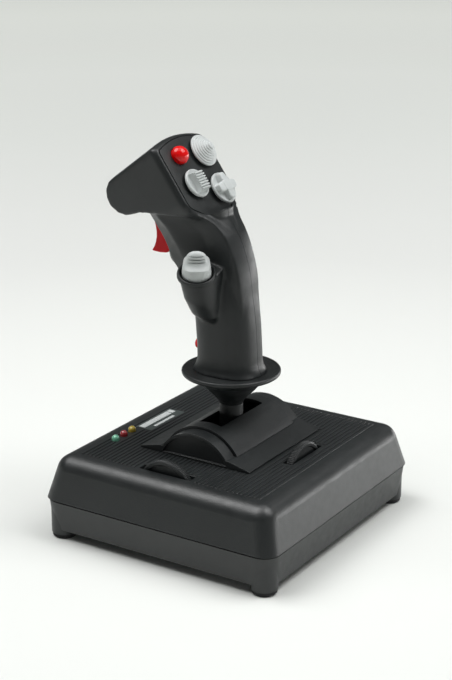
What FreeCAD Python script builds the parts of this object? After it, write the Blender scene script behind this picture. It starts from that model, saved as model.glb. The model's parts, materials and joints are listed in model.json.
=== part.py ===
import FreeCAD, Part
import math
import os
import Sketcher
from FreeCAD import Placement, Rotation, Vector

# Flight joystick: a sprung two-axis stick on a box base. +X is the pilot's right, +Y forward, +Z up.
# The origin is the middle of the base's footprint, on the table.

os.makedirs("parts", exist_ok=True)
doc = FreeCAD.newDocument("FlightJoystick")

# ---------------------------------------------------------------- driving dimensions, millimetres

SIZES = [
    ("base_width", 178, "base across, X"),
    ("base_depth", 168, "base fore and aft, Y"),
    ("top_z", 54, "top face of the base"),
    ("parting_z", 26.5, "line between the two base shells"),
    ("reveal", 0.9, "shadow groove under the top shell"),
    ("floor_z", 6.5, "underside of the bottom shell"),
    ("wall", 2.5, "shell thickness"),
    ("draft", 14, "lean of the top shell's walls, degrees"),
    ("corner_radius", 11, "rounding of the base's corners and top edges"),
    ("foot_inset", 10.4, "centre of a foot from each side of the base"),
    ("foot_radius", 8.4, "corner foot post"),
    ("pad_height", 3, "rubber pad under a foot"),
    ("stick_x", 0.8, "middle of the gimbal, X"),
    ("stick_y", 0, "middle of the gimbal, Y"),
    ("axis_z", 43, "height of both gimbal axes"),
    ("barrel_radius", 30, "outside of the pitch cover"),
    ("barrel_half", 33.4, "half the pitch cover's length"),
    ("cover_wall", 2.3, "pitch cover thickness"),
    ("bezel_half_x", 43, "half the bezel's length"),
    ("bezel_half_y", 40.2, "half the bezel's depth"),
    ("bezel_z", 54.3, "underside of the bezel"),
    ("wing_rise_z", 58.9, "top of a wing where it meets the barrel"),
    ("wing_top_y", 25.2, "half distance between the wings' tops"),
    ("arch_radius", 28.3, "outside of the bezel's arched ends"),
    ("slot_half_x", 24.5, "half the slot's length in the pitch cover"),
    ("slot_half_y", 8.2, "half the slot's width"),
    ("frame_half_y", 16, "half the pitch frame's depth"),
    ("frame_height", 12, "pitch frame height"),
    ("frame_gap_x", 24, "half the opening in the pitch frame, X"),
    ("frame_gap_y", 11, "half the opening in the pitch frame, Y"),
    ("pin_radius", 3, "axle pins"),
    ("running", 0.05, "radial clearance of a turning pin"),
    ("bracket_near", 34.2, "inner face of a gimbal bracket"),
    ("bracket_thick", 4, "gimbal bracket thickness"),
    ("pot_radius", 8.1, "potentiometer body"),
    ("pot_length", 8, "potentiometer depth"),
    ("shaft_radius", 7.5, "stick shaft"),
    ("shaft_bore", 4.5, "bore for the wires"),
    ("hub_top_z", 51, "top of the stick hub"),
    ("rest_z", 101.8, "upper face of the hand rest at its rim"),
    ("rest_radius", 30.9, "hand rest"),
    ("wheel_radius", 20, "trim wheel"),
    ("wheel_thick", 5, "trim wheel thickness"),
    ("wheel_z", 42, "trim wheel axis height"),
    ("lamp_radius", 2.5, "indicator lamp"),
    ("lamp_rise", 1, "straight part of a lamp above the base"),
    ("panel_tilt", 54.7, "lean of the button panel from level, degrees"),
    ("panel_y", 35.9, "forward end of the panel's datum line"),
    ("panel_z", 240.5, "height of the panel's datum line"),
    ("panel_half", 24.8, "half the panel's width"),
    ("panel_side", 38.9, "length of the panel's straight sides"),
    ("panel_length", 47.6, "panel from its datum line to its lower edge"),
    ("panel_foot", 12, "half the panel's lower edge"),
    ("panel_crown", 4.6, "rise of the panel's arched upper edge"),
    ("panel_thick", 2, "button panel thickness"),
    ("head_rim", 2.2, "shell edge round the panel"),
    ("grip_wall", 2.6, "grip shell thickness"),
    ("grip_half_width", 16, "half the handle's width"),
    ("grip_half_depth", 20.4, "half the handle's depth"),
    ("trigger_half", 5.5, "half the trigger's width"),
]

sheet = doc.addObject("Spreadsheet::Sheet", "Sizes")
for row, (alias, number, note) in enumerate(SIZES, start=1):
    sheet.set(f"A{row}", alias)
    sheet.set(f"B{row}", str(number))
    sheet.setAlias(f"B{row}", alias)
    sheet.set(f"C{row}", note)
doc.recompute()

SIZE = {alias: getattr(sheet, alias) for alias, number, note in SIZES}


def of_sheet(text):
    """The expression with every size's name pointed at its cell."""
    words = []
    word = ""
    for mark in str(text) + " ":
        if mark.isalnum() or mark in "_.":
            word += mark
        else:
            words.append(f"Sizes.{word}" if word in SIZE else word)
            words.append(mark)
            word = ""
    return "".join(words).strip()


def bind(thing, **sizes):
    for name, text in sizes.items():
        thing.setExpression(name, of_sheet(text))


def move_to(thing, x, y, z):
    for path, text in (("x", x), ("y", y), ("z", z)):
        thing.setExpression(f"Placement.Base.{path}", of_sheet(text))


TURNS = {
    "+X": Rotation(Vector(0, 1, 0), 90),
    "-X": Rotation(Vector(0, 1, 0), -90),
    "+Y": Rotation(Vector(1, 0, 0), -90),
    "-Y": Rotation(Vector(1, 0, 0), 90),
    "+Z": Rotation(),
}

# ---------------------------------------------------------------- solids from primitives


def block(name, x, y, z, length, width, height):
    """A box from its low corner."""
    box = doc.addObject("Part::Box", name)
    bind(box, Length=length, Width=width, Height=height)
    move_to(box, x, y, z)
    return box


def centred_block(name, x, y, z, half_x, half_y, height):
    """A box from the middle of its underside."""
    return block(name, f"({x}) - ({half_x})", f"({y}) - ({half_y})", z,
                 f"2 * ({half_x})", f"2 * ({half_y})", height)


def rod(name, axis, x, y, z, radius, length):
    """A cylinder along one axis from the middle of its first face."""
    cylinder = doc.addObject("Part::Cylinder", name)
    cylinder.Placement = Placement(Vector(), TURNS[axis])
    bind(cylinder, Radius=radius, Height=length)
    move_to(cylinder, x, y, z)
    return cylinder


def ball(name, x, y, z, radius):
    sphere = doc.addObject("Part::Sphere", name)
    bind(sphere, Radius=radius)
    move_to(sphere, x, y, z)
    return sphere


def fuse(name, things):
    joined = doc.addObject("Part::MultiFuse", name)
    joined.Shapes = things
    joined.Refine = True
    return joined


def cut(name, base, tools):
    tool = tools[0] if len(tools) == 1 else fuse(f"{name}_cutters", tools)
    result = doc.addObject("Part::Cut", name)
    result.Base = base
    result.Tool = tool
    result.Refine = True
    return result


def common(name, first, second):
    result = doc.addObject("Part::Common", name)
    result.Base = first
    result.Tool = second
    return result


def group(name, things):
    """Identical fasteners kept as separate solids in one node."""
    bunch = doc.addObject("Part::Compound", name)
    bunch.Links = things
    return bunch


def placed(name, shape):
    """A shape that neither a body nor a primitive fits."""
    feature = doc.addObject("Part::Feature", name)
    feature.Shape = shape
    return feature


NODES = []


def node(thing):
    """Mark a finished sub-part; its label names its file."""
    NODES.append(thing)
    return thing


# ---------------------------------------------------------------- PartDesign helpers


def body(name):
    return doc.addObject("PartDesign::Body", name)


def plane_of(owner, role):
    return [item for item in owner.Origin.OriginFeatures if item.Role == role][0]


def sketch(owner, name, role="XY_Plane", offset=None):
    drawing = owner.newObject("Sketcher::SketchObject", name)
    drawing.AttachmentSupport = [(plane_of(owner, role), "")]
    drawing.MapMode = "FlatFace"
    if offset is not None:
        drawing.setExpression("AttachmentOffset.Base.z", of_sheet(offset))
    return drawing


def polygon(drawing, points):
    """A closed outline whose corners are held by expressions."""
    spots = [Vector(evaluate(x), evaluate(y), 0) for x, y in points]
    lines = [drawing.addGeometry(Part.LineSegment(spots[i - 1], spots[i]), False)
             for i in range(len(spots))]
    for i, line in enumerate(lines):
        drawing.addConstraint(Sketcher.Constraint("Coincident", lines[i - 1], 2, line, 1))
    for line, place in zip(lines, points):
        for kind, text in zip(("DistanceX", "DistanceY"), place):
            held = drawing.addConstraint(Sketcher.Constraint(kind, -1, 1, line, 2, evaluate(text)))
            if isinstance(text, str):
                drawing.setExpression(f"Constraints[{held}]", of_sheet(text))
    return drawing


def evaluate(text):
    """A number from an expression over the sheet."""
    if not isinstance(text, str):
        return float(text)
    return float(sheet.evalExpression(of_sheet(text)))


def circle(drawing, x, y, radius):
    ring = drawing.addGeometry(Part.Circle(Vector(evaluate(x), evaluate(y), 0), Vector(0, 0, 1),
                                           evaluate(radius)), False)
    for kind, text in (("DistanceX", x), ("DistanceY", y)):
        held = drawing.addConstraint(Sketcher.Constraint(kind, -1, 1, ring, 3, evaluate(text)))
        if isinstance(text, str):
            drawing.setExpression(f"Constraints[{held}]", of_sheet(text))
    held = drawing.addConstraint(Sketcher.Constraint("Radius", ring, evaluate(radius)))
    if isinstance(radius, str):
        drawing.setExpression(f"Constraints[{held}]", of_sheet(radius))
    return ring


def rectangle(drawing, half_x, half_y, x="0", y="0"):
    left, right = f"({x}) - ({half_x})", f"({x}) + ({half_x})"
    low, high = f"({y}) - ({half_y})", f"({y}) + ({half_y})"
    return polygon(drawing, [(left, low), (right, low), (right, high), (left, high)])


def pad(owner, drawing, length, down=False, taper=None, both=False):
    feature = owner.newObject("PartDesign::Pad", f"{owner.Name}_pad")
    feature.Profile = drawing
    feature.Reversed = down
    feature.Midplane = both
    feature.setExpression("Length", of_sheet(length))
    if taper is not None:
        feature.setExpression("TaperAngle", of_sheet(taper))
    return feature


def revolve(owner, drawing):
    feature = owner.newObject("PartDesign::Revolution", f"{owner.Name}_turned")
    feature.Profile = drawing
    feature.ReferenceAxis = (drawing, ["V_Axis"])
    feature.Angle = 360
    return feature


def round_edges(owner, base, radius, wanted):
    """Round those edges of the last feature that the test accepts."""
    doc.recompute()
    names = [f"Edge{i}" for i, edge in enumerate(base.Shape.Edges, start=1) if wanted(edge)]
    feature = owner.newObject("PartDesign::Fillet", f"{owner.Name}_round")
    feature.Base = (base, names)
    feature.setExpression("Radius", of_sheet(radius))
    return feature

# ---------------------------------------------------------------- base shells


def above(height):
    """True for an edge that rises over a height."""
    return lambda edge: max(corner.Z for corner in edge.Vertexes) > height + 0.5


def drafted_slab(name, inset, start, length, lean, radius, down=False):
    """A rectangle pushed up or down with leaning walls and rounded corners."""
    owner = body(name)
    drawing = rectangle(sketch(owner, f"{name}_outline", offset=start),
                        f"base_width / 2 - ({inset})", f"base_depth / 2 - ({inset})")
    slab = pad(owner, drawing, length, down=down, taper=lean)
    if down:
        rounded = round_edges(owner, slab, radius,
                              lambda edge: abs(edge.Vertexes[0].Z - edge.Vertexes[-1].Z) > 1)
    else:
        rounded = round_edges(owner, slab, radius, above(SIZE["parting_z"]))
    owner.Tip = rounded
    return owner


CORNERS = [(1, 1), (-1, 1), (-1, -1), (1, -1)]
BOSS_X = "base_width / 2 - 23"
BOSS_Y = "base_depth / 2 - 23"


def at_corners(make, name, far_x, far_y):
    """One thing at each corner of the base."""
    return [make(f"{name}_{i}", f"{side} * ({far_x})", f"{end} * ({far_y})")
            for i, (side, end) in enumerate(CORNERS, start=1)]


LEFT_WHEEL = {"axis": "+X", "x": "-66.5", "y": "3.2"}
REAR_WHEEL = {"axis": "+Y", "x": "2.3", "y": "-51.5"}
LAMPS = {"lamp_green": -41, "lamp_red": -32, "lamp_yellow": -23}
LAMP_Y = 60.5
PLATE = {"x": 3.5, "y": 56.75, "half_x": 19.5, "half_y": 6.25}


def wheel_slot(name, wheel):
    """The opening over a trim wheel."""
    long_half, short_half = "sqrt(wheel_radius ^ 2 - (top_z - wall - wheel_z) ^ 2) + 1", "wheel_thick / 2 + 1"
    across_x = wheel["axis"] == "+X"
    return centred_block(name, wheel["x"], wheel["y"], "top_z - 2 * wall",
                         short_half if across_x else long_half,
                         long_half if across_x else short_half, "3 * wall")


top_outer = drafted_slab("top_outer", "0", "parting_z", "top_z - parting_z", "-draft", "corner_radius")
top_inner = drafted_slab("top_inner", "wall", "parting_z", "top_z - parting_z - wall", "-draft",
                         "corner_radius - wall")
top_skin = cut("top_skin", top_outer, [top_inner])
top_posts = at_corners(lambda name, x, y: rod(name, "+Z", x, y, "12", "4.2", "top_z - wall / 2 - 12"),
                       "top_post", BOSS_X, BOSS_Y)
top_whole = fuse("top_whole", [top_skin] + top_posts)
top_openings = at_corners(lambda name, x, y: rod(name, "+Z", x, y, "11", "1.5", "14"),
                          "post_pilot", BOSS_X, BOSS_Y)
top_openings += [wheel_slot("left_wheel_slot", LEFT_WHEEL), wheel_slot("rear_wheel_slot", REAR_WHEEL)]
top_openings.append(centred_block("gimbal_opening", "stick_x", "stick_y", "top_z - 2 * wall",
                                  "barrel_half + 0.8", "barrel_radius + 2", "3 * wall"))
top_openings += [rod(f"{name}_hole", "+Z", x, LAMP_Y, "top_z - 2 * wall", "lamp_radius + running", "3 * wall")
                 for name, x in LAMPS.items()]
top_openings.append(centred_block("plate_seat", PLATE["x"], PLATE["y"], "top_z - 0.8",
                                  PLATE["half_x"], PLATE["half_y"], "wall"))
node(cut("base_top_shell", top_whole, top_openings))

bottom_outer = drafted_slab("bottom_outer", "0.6", "parting_z - reveal", "parting_z - reveal - floor_z", "-6",
                            "corner_radius", down=True)
bottom_lip = drafted_slab("bottom_lip", "1.8", "parting_z", "2 * reveal", "0", "corner_radius - 1.2", down=True)
bottom_inner = drafted_slab("bottom_inner", "0.6 + wall", "parting_z", "parting_z - floor_z - wall", "-6",
                            "corner_radius - wall", down=True)
bottom_skin = cut("bottom_skin", fuse("bottom_walls", [bottom_outer, bottom_lip]), [bottom_inner])
foot_posts = at_corners(lambda name, x, y: rod(name, "+Z", x, y, "pad_height", "foot_radius", "18.5"),
                        "foot_post", "base_width / 2 - foot_inset", "base_depth / 2 - foot_inset")
screw_seats = at_corners(lambda name, x, y: rod(name, "+Z", x, y, "floor_z", "5", "12 - floor_z"),
                         "screw_seat", BOSS_X, BOSS_Y)
BOARD_Y = 56
STANDOFFS = [(side * 52, BOARD_Y + end * 13) for side, end in CORNERS]
standoffs = [rod(f"standoff_{i}", "+Z", x, y, "floor_z + 1", "3", "8")
             for i, (x, y) in enumerate(STANDOFFS, start=1)]
bottom_whole = fuse("bottom_whole", [bottom_skin] + foot_posts + screw_seats + standoffs)
CABLE = {"x": 0, "z": 17}
bottom_openings = at_corners(lambda name, x, y: rod(name, "+Z", x, y, "floor_z - 1", "3.2", "3.6"),
                             "head_recess", BOSS_X, BOSS_Y)
bottom_openings += at_corners(lambda name, x, y: rod(name, "+Z", x, y, "floor_z", "1.7", "7"),
                              "screw_way", BOSS_X, BOSS_Y)
bottom_openings.append(rod("cable_way", "+Y", CABLE["x"], "base_depth / 2 - 10", CABLE["z"], "5.05", "20"))
node(cut("base_bottom_shell", bottom_whole, bottom_openings))


def rubber_foot(name, x, y):
    owner = body(name)
    drawing = polygon(sketch(owner, f"{name}_half", "XZ_Plane"),
                      [("0", "0"), ("foot_radius - 1.6", "0"), ("foot_radius - 0.5", "1.1"),
                       ("foot_radius - 0.5", "pad_height"), ("0", "pad_height")])
    revolve(owner, drawing)
    move_to(owner, x, y, "0")
    return node(owner)


at_corners(rubber_foot, "rubber_foot", "base_width / 2 - foot_inset", "base_depth / 2 - foot_inset")


def screw(name, axis, x, y, z, head, shank, length):
    """A pan-head screw: head first, shank along the axis."""
    steps = {"+X": (1, 0, 0), "-X": (-1, 0, 0), "+Y": (0, 1, 0), "-Y": (0, -1, 0), "+Z": (0, 0, 1)}[axis]
    deep = 2
    start = [f"({place}) + {step * deep}" for place, step in zip((x, y, z), steps)]
    return fuse(name, [rod(f"{name}_head", axis, x, y, z, head, deep),
                       rod(f"{name}_shank", axis, *start, shank, length)])


shell_screws = at_corners(lambda name, x, y: screw(name, "+Z", x, y, "floor_z + 0.6", "3", "1.4", "14"),
                          "shell_screw", BOSS_X, BOSS_Y)
node(group("base_screws", shell_screws))

for name, x in LAMPS.items():
    stem = rod(f"{name}_stem", "+Z", x, LAMP_Y, "48", "lamp_radius", "top_z + lamp_rise - 48")
    node(fuse(name, [stem, ball(f"{name}_dome", x, LAMP_Y, "top_z + lamp_rise", "lamp_radius")]))
lamp_middle = sum(LAMPS.values()) / len(LAMPS)
node(centred_block("lamp_board", lamp_middle, LAMP_Y, "46.4", "15", "4", "1.6"))
node(centred_block("name_plate", PLATE["x"], PLATE["y"], "top_z - 0.8", PLATE["half_x"] - 0.05,
                   PLATE["half_y"] - 0.05, "1"))

board = centred_block("board_blank", "0", BOARD_Y, "floor_z + 9", "58", "17", "1.6")
chips = [centred_block("chip_large", "-20", BOARD_Y, "floor_z + 10.6", "10", "7", "2.4"),
         centred_block("chip_small", "14", BOARD_Y + 4, "floor_z + 10.6", "6", "4", "2"),
         centred_block("socket_stick", "38", BOARD_Y, "floor_z + 10.6", "7", "3", "5")]
node(fuse("main_circuit_board", [board] + chips))

grommet = [rod("grommet_neck", "+Y", CABLE["x"], "base_depth / 2 - 6", CABLE["z"], "5", "5.8"),
           rod("grommet_flange", "+Y", CABLE["x"], "base_depth / 2 - 0.8", CABLE["z"], "6.4", "0.7"),
           rod("grommet_lip", "+Y", CABLE["x"], "base_depth / 2 - 6.6", CABLE["z"], "6.2", "1.8")]
grommet_bore = rod("grommet_bore", "+Y", CABLE["x"], "base_depth / 2 - 8", CABLE["z"], "2.6", "12")
node(cut("cable_grommet", fuse("grommet_whole", grommet), [grommet_bore]))

# ---------------------------------------------------------------- trim wheels


def stations(wheel, near):
    """X and Y of a point on a wheel's axis, a distance from its middle."""
    if wheel["axis"] == "+X":
        return f"{wheel['x']} + ({near})", wheel["y"]
    return wheel["x"], f"{wheel['y']} + ({near})"


def axle(name, wheel, near, radius, length):
    x, y = stations(wheel, near)
    return rod(name, wheel["axis"], x, y, "wheel_z", radius, length)


def trim_wheel(name, wheel):
    """A wheel with a ridged rim."""
    ridges = 56
    owner = body(name)
    drawing = sketch(owner, f"{name}_disc")
    circle(drawing, 0, 0, "wheel_radius")
    circle(drawing, 0, 0, "2.5 + running")
    disc = pad(owner, drawing, "wheel_thick", both=True)
    notch_drawing = sketch(owner, f"{name}_notch")
    circle(notch_drawing, "wheel_radius", 0, "0.55")
    notch = owner.newObject("PartDesign::Pocket", f"{name}_notches")
    notch.Profile = notch_drawing
    notch.Type = "ThroughAll"
    notch.Midplane = True
    doc.recompute()
    if notch.Shape.Volume >= disc.Shape.Volume:
        raise RuntimeError(f"{name}: the notch cuts nothing")
    pattern = owner.newObject("PartDesign::PolarPattern", f"{name}_ridges")
    pattern.Originals = [notch]
    pattern.Axis = (drawing, ["N_Axis"])
    pattern.Angle = 360
    pattern.Occurrences = ridges
    owner.Tip = pattern
    owner.Placement = Placement(Vector(), TURNS[wheel["axis"]])
    move_to(owner, wheel["x"], wheel["y"], "wheel_z")
    return node(owner)


def trim_unit(side, wheel):
    """Wheel, spindle, the ring that carries them under the top shell, and its potentiometer."""
    trim_wheel(f"{side}_trim_wheel", wheel)
    node(axle(f"{side}_trim_spindle", wheel, "-6.6", "2.5", "18.4"))
    across_x = wheel["axis"] == "+X"
    outer = ("5.8", "wheel_radius + 4.2")
    inner = ("3.3", "wheel_radius + 1.7")
    if not across_x:
        outer, inner = outer[::-1], inner[::-1]
    outside = centred_block(f"{side}_ring_outside", wheel["x"], wheel["y"], "wheel_z - 6", *outer,
                            "top_z - wall - wheel_z + 6")
    inside = centred_block(f"{side}_ring_inside", wheel["x"], wheel["y"], "wheel_z - 7", *inner,
                           "top_z - wall - wheel_z + 8")
    way = axle(f"{side}_ring_way", wheel, "-8", "2.5 + running", "16")
    node(cut(f"{side}_trim_ring", outside, [inside, way]))
    can = axle(f"{side}_trim_can", wheel, "5.8", "6.5", "7")
    socket = axle(f"{side}_trim_socket", wheel, "5", "2.5 + running", "7")
    node(cut(f"{side}_trim_potentiometer", can, [socket]))


trim_unit("left", LEFT_WHEEL)
trim_unit("rear", REAR_WHEEL)

# ---------------------------------------------------------------- gimbal


def along_x(name, near, radius, length):
    """A rod on the pitch axis, starting a distance from the gimbal's middle."""
    return rod(name, "+X", f"stick_x + ({near})", "stick_y", "axis_z", radius, length)


def along_y(name, near, radius, length):
    """A rod on the roll axis."""
    return rod(name, "+Y", "stick_x", f"stick_y + ({near})", "axis_z", radius, length)


def at_stick(name, z, half_x, half_y, height):
    return centred_block(name, "stick_x", "stick_y", z, half_x, half_y, height)


def wings(name, inset, start, half_x):
    """The bezel's two sloped wings as one prism."""
    owner = body(name)
    drawing = polygon(sketch(owner, f"{name}_profile", "YZ_Plane"),
                      [(f"-bezel_half_y + {inset}", start), (f"bezel_half_y - {inset}", start),
                       (f"bezel_half_y - {inset}", f"bezel_z + 1 - {inset} / 2"),
                       ("wing_top_y", f"wing_rise_z - {inset}"), ("-wing_top_y", f"wing_rise_z - {inset}"),
                       (f"-bezel_half_y + {inset}", f"bezel_z + 1 - {inset} / 2")])
    owner.Tip = pad(owner, drawing, f"2 * ({half_x})", both=True)
    move_to(owner, "stick_x", "stick_y", "0")
    return owner


BEZEL_SKIN = "1.8"
wing_outside = wings("wing_outside", "0", "bezel_z", "bezel_half_x")
wing_inside = wings("wing_inside", BEZEL_SKIN, "bezel_z - 1", f"bezel_half_x - {BEZEL_SKIN}")
arch_round = along_x("arch_round", "-bezel_half_x", "arch_radius", "2 * bezel_half_x")
arch_upper = at_stick("arch_upper", "bezel_z", "bezel_half_x + 1", "bezel_half_y", "arch_radius")
bezel_solid = fuse("bezel_solid", [wing_outside, common("arch", arch_round, arch_upper)])
bezel_spacers = [centred_block(f"bezel_spacer_{i}", f"stick_x + {side} * (bezel_half_x - 4)",
                               f"stick_y + {end} * (bezel_half_y - 4)", "top_z", "3", "3", "1.2")
                 for i, (side, end) in enumerate(CORNERS, start=1)]
end_recess = [along_x("left_end_recess", "-bezel_half_x - 1", f"arch_radius - {BEZEL_SKIN}", "2.2"),
              along_x("right_end_recess", "bezel_half_x - 1.2", f"arch_radius - {BEZEL_SKIN}", "2.2")]
end_level = at_stick("end_level", "wing_rise_z - 3.6", "bezel_half_x + 2", "bezel_half_y", "arch_radius")
recesses = common("end_recesses", fuse("end_recess_pair", end_recess), end_level)
arch_hollow = along_x("arch_hollow", f"-bezel_half_x + {BEZEL_SKIN} + 1.2", f"arch_radius - {BEZEL_SKIN}",
                      f"2 * (bezel_half_x - {BEZEL_SKIN} - 1.2)")
barrel_room = along_x("barrel_room", "-barrel_half - 0.5", "barrel_radius + 0.4", "2 * barrel_half + 1")
bezel_shell = cut("bezel_shell", bezel_solid, [wing_inside, arch_hollow, barrel_room, recesses])
node(fuse("gimbal_bezel", [bezel_shell] + bezel_spacers))

cover_round = along_x("cover_round", "-barrel_half", "barrel_radius", "2 * barrel_half")
cover_hollow = along_x("cover_hollow", "-barrel_half + cover_wall", "barrel_radius - cover_wall",
                       "2 * (barrel_half - cover_wall)")
cover_below = at_stick("cover_below", "axis_z - barrel_radius - 1", "barrel_half + 1", "barrel_radius + 1",
                       "barrel_radius + 5")
cover_half = cut("cover_half", cover_round, [cover_hollow, cover_below])
cover_ears = [along_x("cover_ear_left", "-barrel_half", "8", "cover_wall"),
              along_x("cover_ear_right", "barrel_half - cover_wall", "8", "cover_wall")]
cover_openings = [at_stick("shaft_slot", "axis_z + barrel_radius - 8", "slot_half_x", "slot_half_y", "12"),
                  along_x("cover_pin_way", "-barrel_half - 1", "pin_radius + running", "2 * barrel_half + 2")]
node(cut("pitch_cover", fuse("cover_whole", [cover_half] + cover_ears), cover_openings))

frame_block = at_stick("frame_block", "axis_z - frame_height / 2", "barrel_half - cover_wall", "frame_half_y",
                       "frame_height")
frame_openings = [at_stick("frame_window", "axis_z - frame_height", "frame_gap_x", "frame_gap_y",
                           "2 * frame_height"),
                  along_x("frame_pin_way", "-barrel_half", "pin_radius + running", "2 * barrel_half"),
                  along_y("frame_axle_way", "-frame_half_y - 1", "pin_radius + running",
                          "2 * frame_half_y + 2")]
node(cut("pitch_frame", frame_block, frame_openings))

PIN_START = "frame_gap_x + 0.5"
BRACKET_FAR = "bracket_near + bracket_thick"
node(along_x("pitch_pin_left", f"-({BRACKET_FAR}) - pot_length + 0.4",
             "pin_radius", f"{BRACKET_FAR} + pot_length - 0.4 - ({PIN_START})"))
node(along_x("pitch_pin_right", PIN_START, "pin_radius", f"{BRACKET_FAR} + pot_length - 0.8 - ({PIN_START})"))


def bracket(name, side):
    """An upright plate with a foot, bored for the pitch pin."""
    middle = f"stick_x + {side} * (bracket_near + bracket_thick / 2)"
    upright = centred_block(f"{name}_upright", middle, "stick_y", "floor_z + wall", "bracket_thick / 2", "11",
                            "top_z - 2 * wall - floor_z - 0.6")
    foot_middle = f"stick_x + {side} * (bracket_near + 8)"
    foot = centred_block(f"{name}_foot", foot_middle, "stick_y", "floor_z + wall", "8", "15", "3")
    ways = [along_x(f"{name}_pin_way", f"{side} * (bracket_near + 2) - 4", "pin_radius + running", "8")]
    ways += [rod(f"{name}_screw_way_{end}", "+Z", f"stick_x + {side} * (bracket_near + 11)",
                 f"stick_y + {end} * 11", "floor_z + wall - 1", "1.55", "6") for end in (1, -1)]
    return node(cut(name, fuse(f"{name}_blank", [upright, foot]), ways))


bracket("gimbal_bracket_left", -1)
bracket("gimbal_bracket_right", 1)


def bracket_screw(name, side, end):
    """A short screw through a bracket's foot, head up."""
    x = f"stick_x + {side} * (bracket_near + 11)"
    y = f"stick_y + {end} * 11"
    return fuse(name, [rod(f"{name}_shank", "+Z", x, y, "floor_z + wall", "1.5", "3"),
                       rod(f"{name}_head", "+Z", x, y, "floor_z + wall + 3", "3", "2")])


node(group("bracket_screws", [bracket_screw(f"bracket_screw_{i}", side, end)
                              for i, (side, end) in enumerate(CORNERS, start=1)]))

pitch_can = along_x("pitch_can", BRACKET_FAR, "pot_radius", "pot_length")
pitch_socket = along_x("pitch_socket", f"{BRACKET_FAR} - 1", "pin_radius + running", "pot_length + 0.4")
pitch_tabs = [centred_block(f"pitch_tab_{i}", f"stick_x + {BRACKET_FAR} + pot_length / 2",
                            f"stick_y + {i} * 5", "axis_z - pot_radius - 4", "0.4", "1", "8")
              for i in (-1, 0, 1)]
node(cut("pitch_potentiometer", fuse("pitch_can_whole", [pitch_can] + pitch_tabs), [pitch_socket]))
roll_can = along_y("roll_can", "frame_half_y", "pot_radius", "pot_length")
roll_socket = along_y("roll_socket", "frame_half_y - 1", "pin_radius + running", "pot_length + 0.4")
node(cut("roll_potentiometer", roll_can, [roll_socket]))

pitch_coil = along_x("pitch_coil", f"-({BRACKET_FAR}) - 7", "6.5", "7")
pitch_coil_bore = along_x("pitch_coil_bore", f"-({BRACKET_FAR}) - 8", "4", "9")
node(cut("pitch_spring", pitch_coil, [pitch_coil_bore]))
roll_coil = along_y("roll_coil", "-frame_half_y - 7", "6.5", "7")
roll_coil_bore = along_y("roll_coil_bore", "-frame_half_y - 8", "4", "9")
node(cut("roll_spring", roll_coil, [roll_coil_bore]))
node(along_y("roll_axle", "-frame_half_y - 7.6", "pin_radius", "2 * frame_half_y + 7.6 + pot_length - 0.8"))

# ---------------------------------------------------------------- stick below the grip

hub_block = at_stick("hub_block", "axis_z - 8", "9", "frame_gap_y - 0.6", "hub_top_z - axis_z + 8")
node(cut("stick_hub", hub_block, [along_y("hub_way", "-frame_gap_y", "pin_radius + running",
                                          "2 * frame_gap_y")]))
COLLAR_Z = 79
shaft_low = rod("shaft_low", "+Z", "stick_x", "stick_y", "hub_top_z", "shaft_radius", f"{COLLAR_Z} - hub_top_z")
shaft_high = rod("shaft_high", "+Z", "stick_x", "stick_y", "hub_top_z", "shaft_radius - 1.5",
                 "rest_z + 14 - hub_top_z")
shaft_way = rod("shaft_way", "+Z", "stick_x", "stick_y", "hub_top_z - 1", "shaft_bore", "rest_z - hub_top_z + 16")
node(cut("stick_shaft", fuse("shaft_whole", [shaft_low, shaft_high]), [shaft_way]))

hand_rest = body("hand_rest")
rest_profile = polygon(
    sketch(hand_rest, "hand_rest_half", "XZ_Plane"),
    [("shaft_radius - 1.5 + running", COLLAR_Z), ("shaft_radius + 0.1", COLLAR_Z), ("16.2", "rest_z - 12.6"),
     ("19", "rest_z - 8.4"), ("rest_radius - 1.3", "rest_z - 2.8"), ("rest_radius", "rest_z - 1.5"),
     ("rest_radius", "rest_z - 0.7"), ("rest_radius - 0.7", "rest_z"), ("rest_radius - 2.2", "rest_z - 0.5"),
     ("rest_radius - 6", "rest_z - 1.2"), ("shaft_radius - 1.5 + running", "rest_z - 1.2")])
revolve(hand_rest, rest_profile)
move_to(hand_rest, "stick_x", "stick_y", "0")
node(hand_rest)

# ---------------------------------------------------------------- grip surfaces

STICK = Vector(SIZE["stick_x"], SIZE["stick_y"], 0)
GRIP_FLOOR = SIZE["rest_z"] - 1.2
OVAL = 2.6


def oval(z, middle_y, half_x, half_y, points=28):
    """A level superellipse, the handle's cross-section."""
    spots = []
    for i in range(points):
        turn = 2 * math.pi * i / points
        across, along = math.cos(turn), math.sin(turn)
        spots.append(Vector(STICK.x + half_x * math.copysign(abs(across) ** (2 / OVAL), across),
                            middle_y + half_y * math.copysign(abs(along) ** (2 / OVAL), along), z))
    curve = Part.BSplineCurve()
    curve.interpolate(spots, PeriodicFlag=True)
    return Part.Wire([curve.toShape()])


def handle_solid(inset):
    """The leaning handle with the skirt that flares on to the hand rest."""
    half_x, half_y = SIZE["grip_half_width"], SIZE["grip_half_depth"]
    spine = [(GRIP_FLOOR, 1.0, 3.0, 3.4), (GRIP_FLOOR + 2.5, 1.0, 1.4, 1.6), (GRIP_FLOOR + 6, 1.0, 0.3, 0.4),
             (113, 1.1, 0, 0), (124, 1.7, 0, 0), (136, 2.6, 0, 0), (148, 4.0, 0, 0), (160, 6.0, 0, 0),
             (172, 8.6, 0, 0), (182, 11.4, 0, 0), (190, 15.0, 0, 0), (197, 19.4, 0, 0), (204, 25.0, 0, 0)]
    rings = [oval(z, y, half_x + more_x - inset, half_y + more_y - inset) for z, y, more_x, more_y in spine]
    return Part.makeLoft(rings, True, False)


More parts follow.
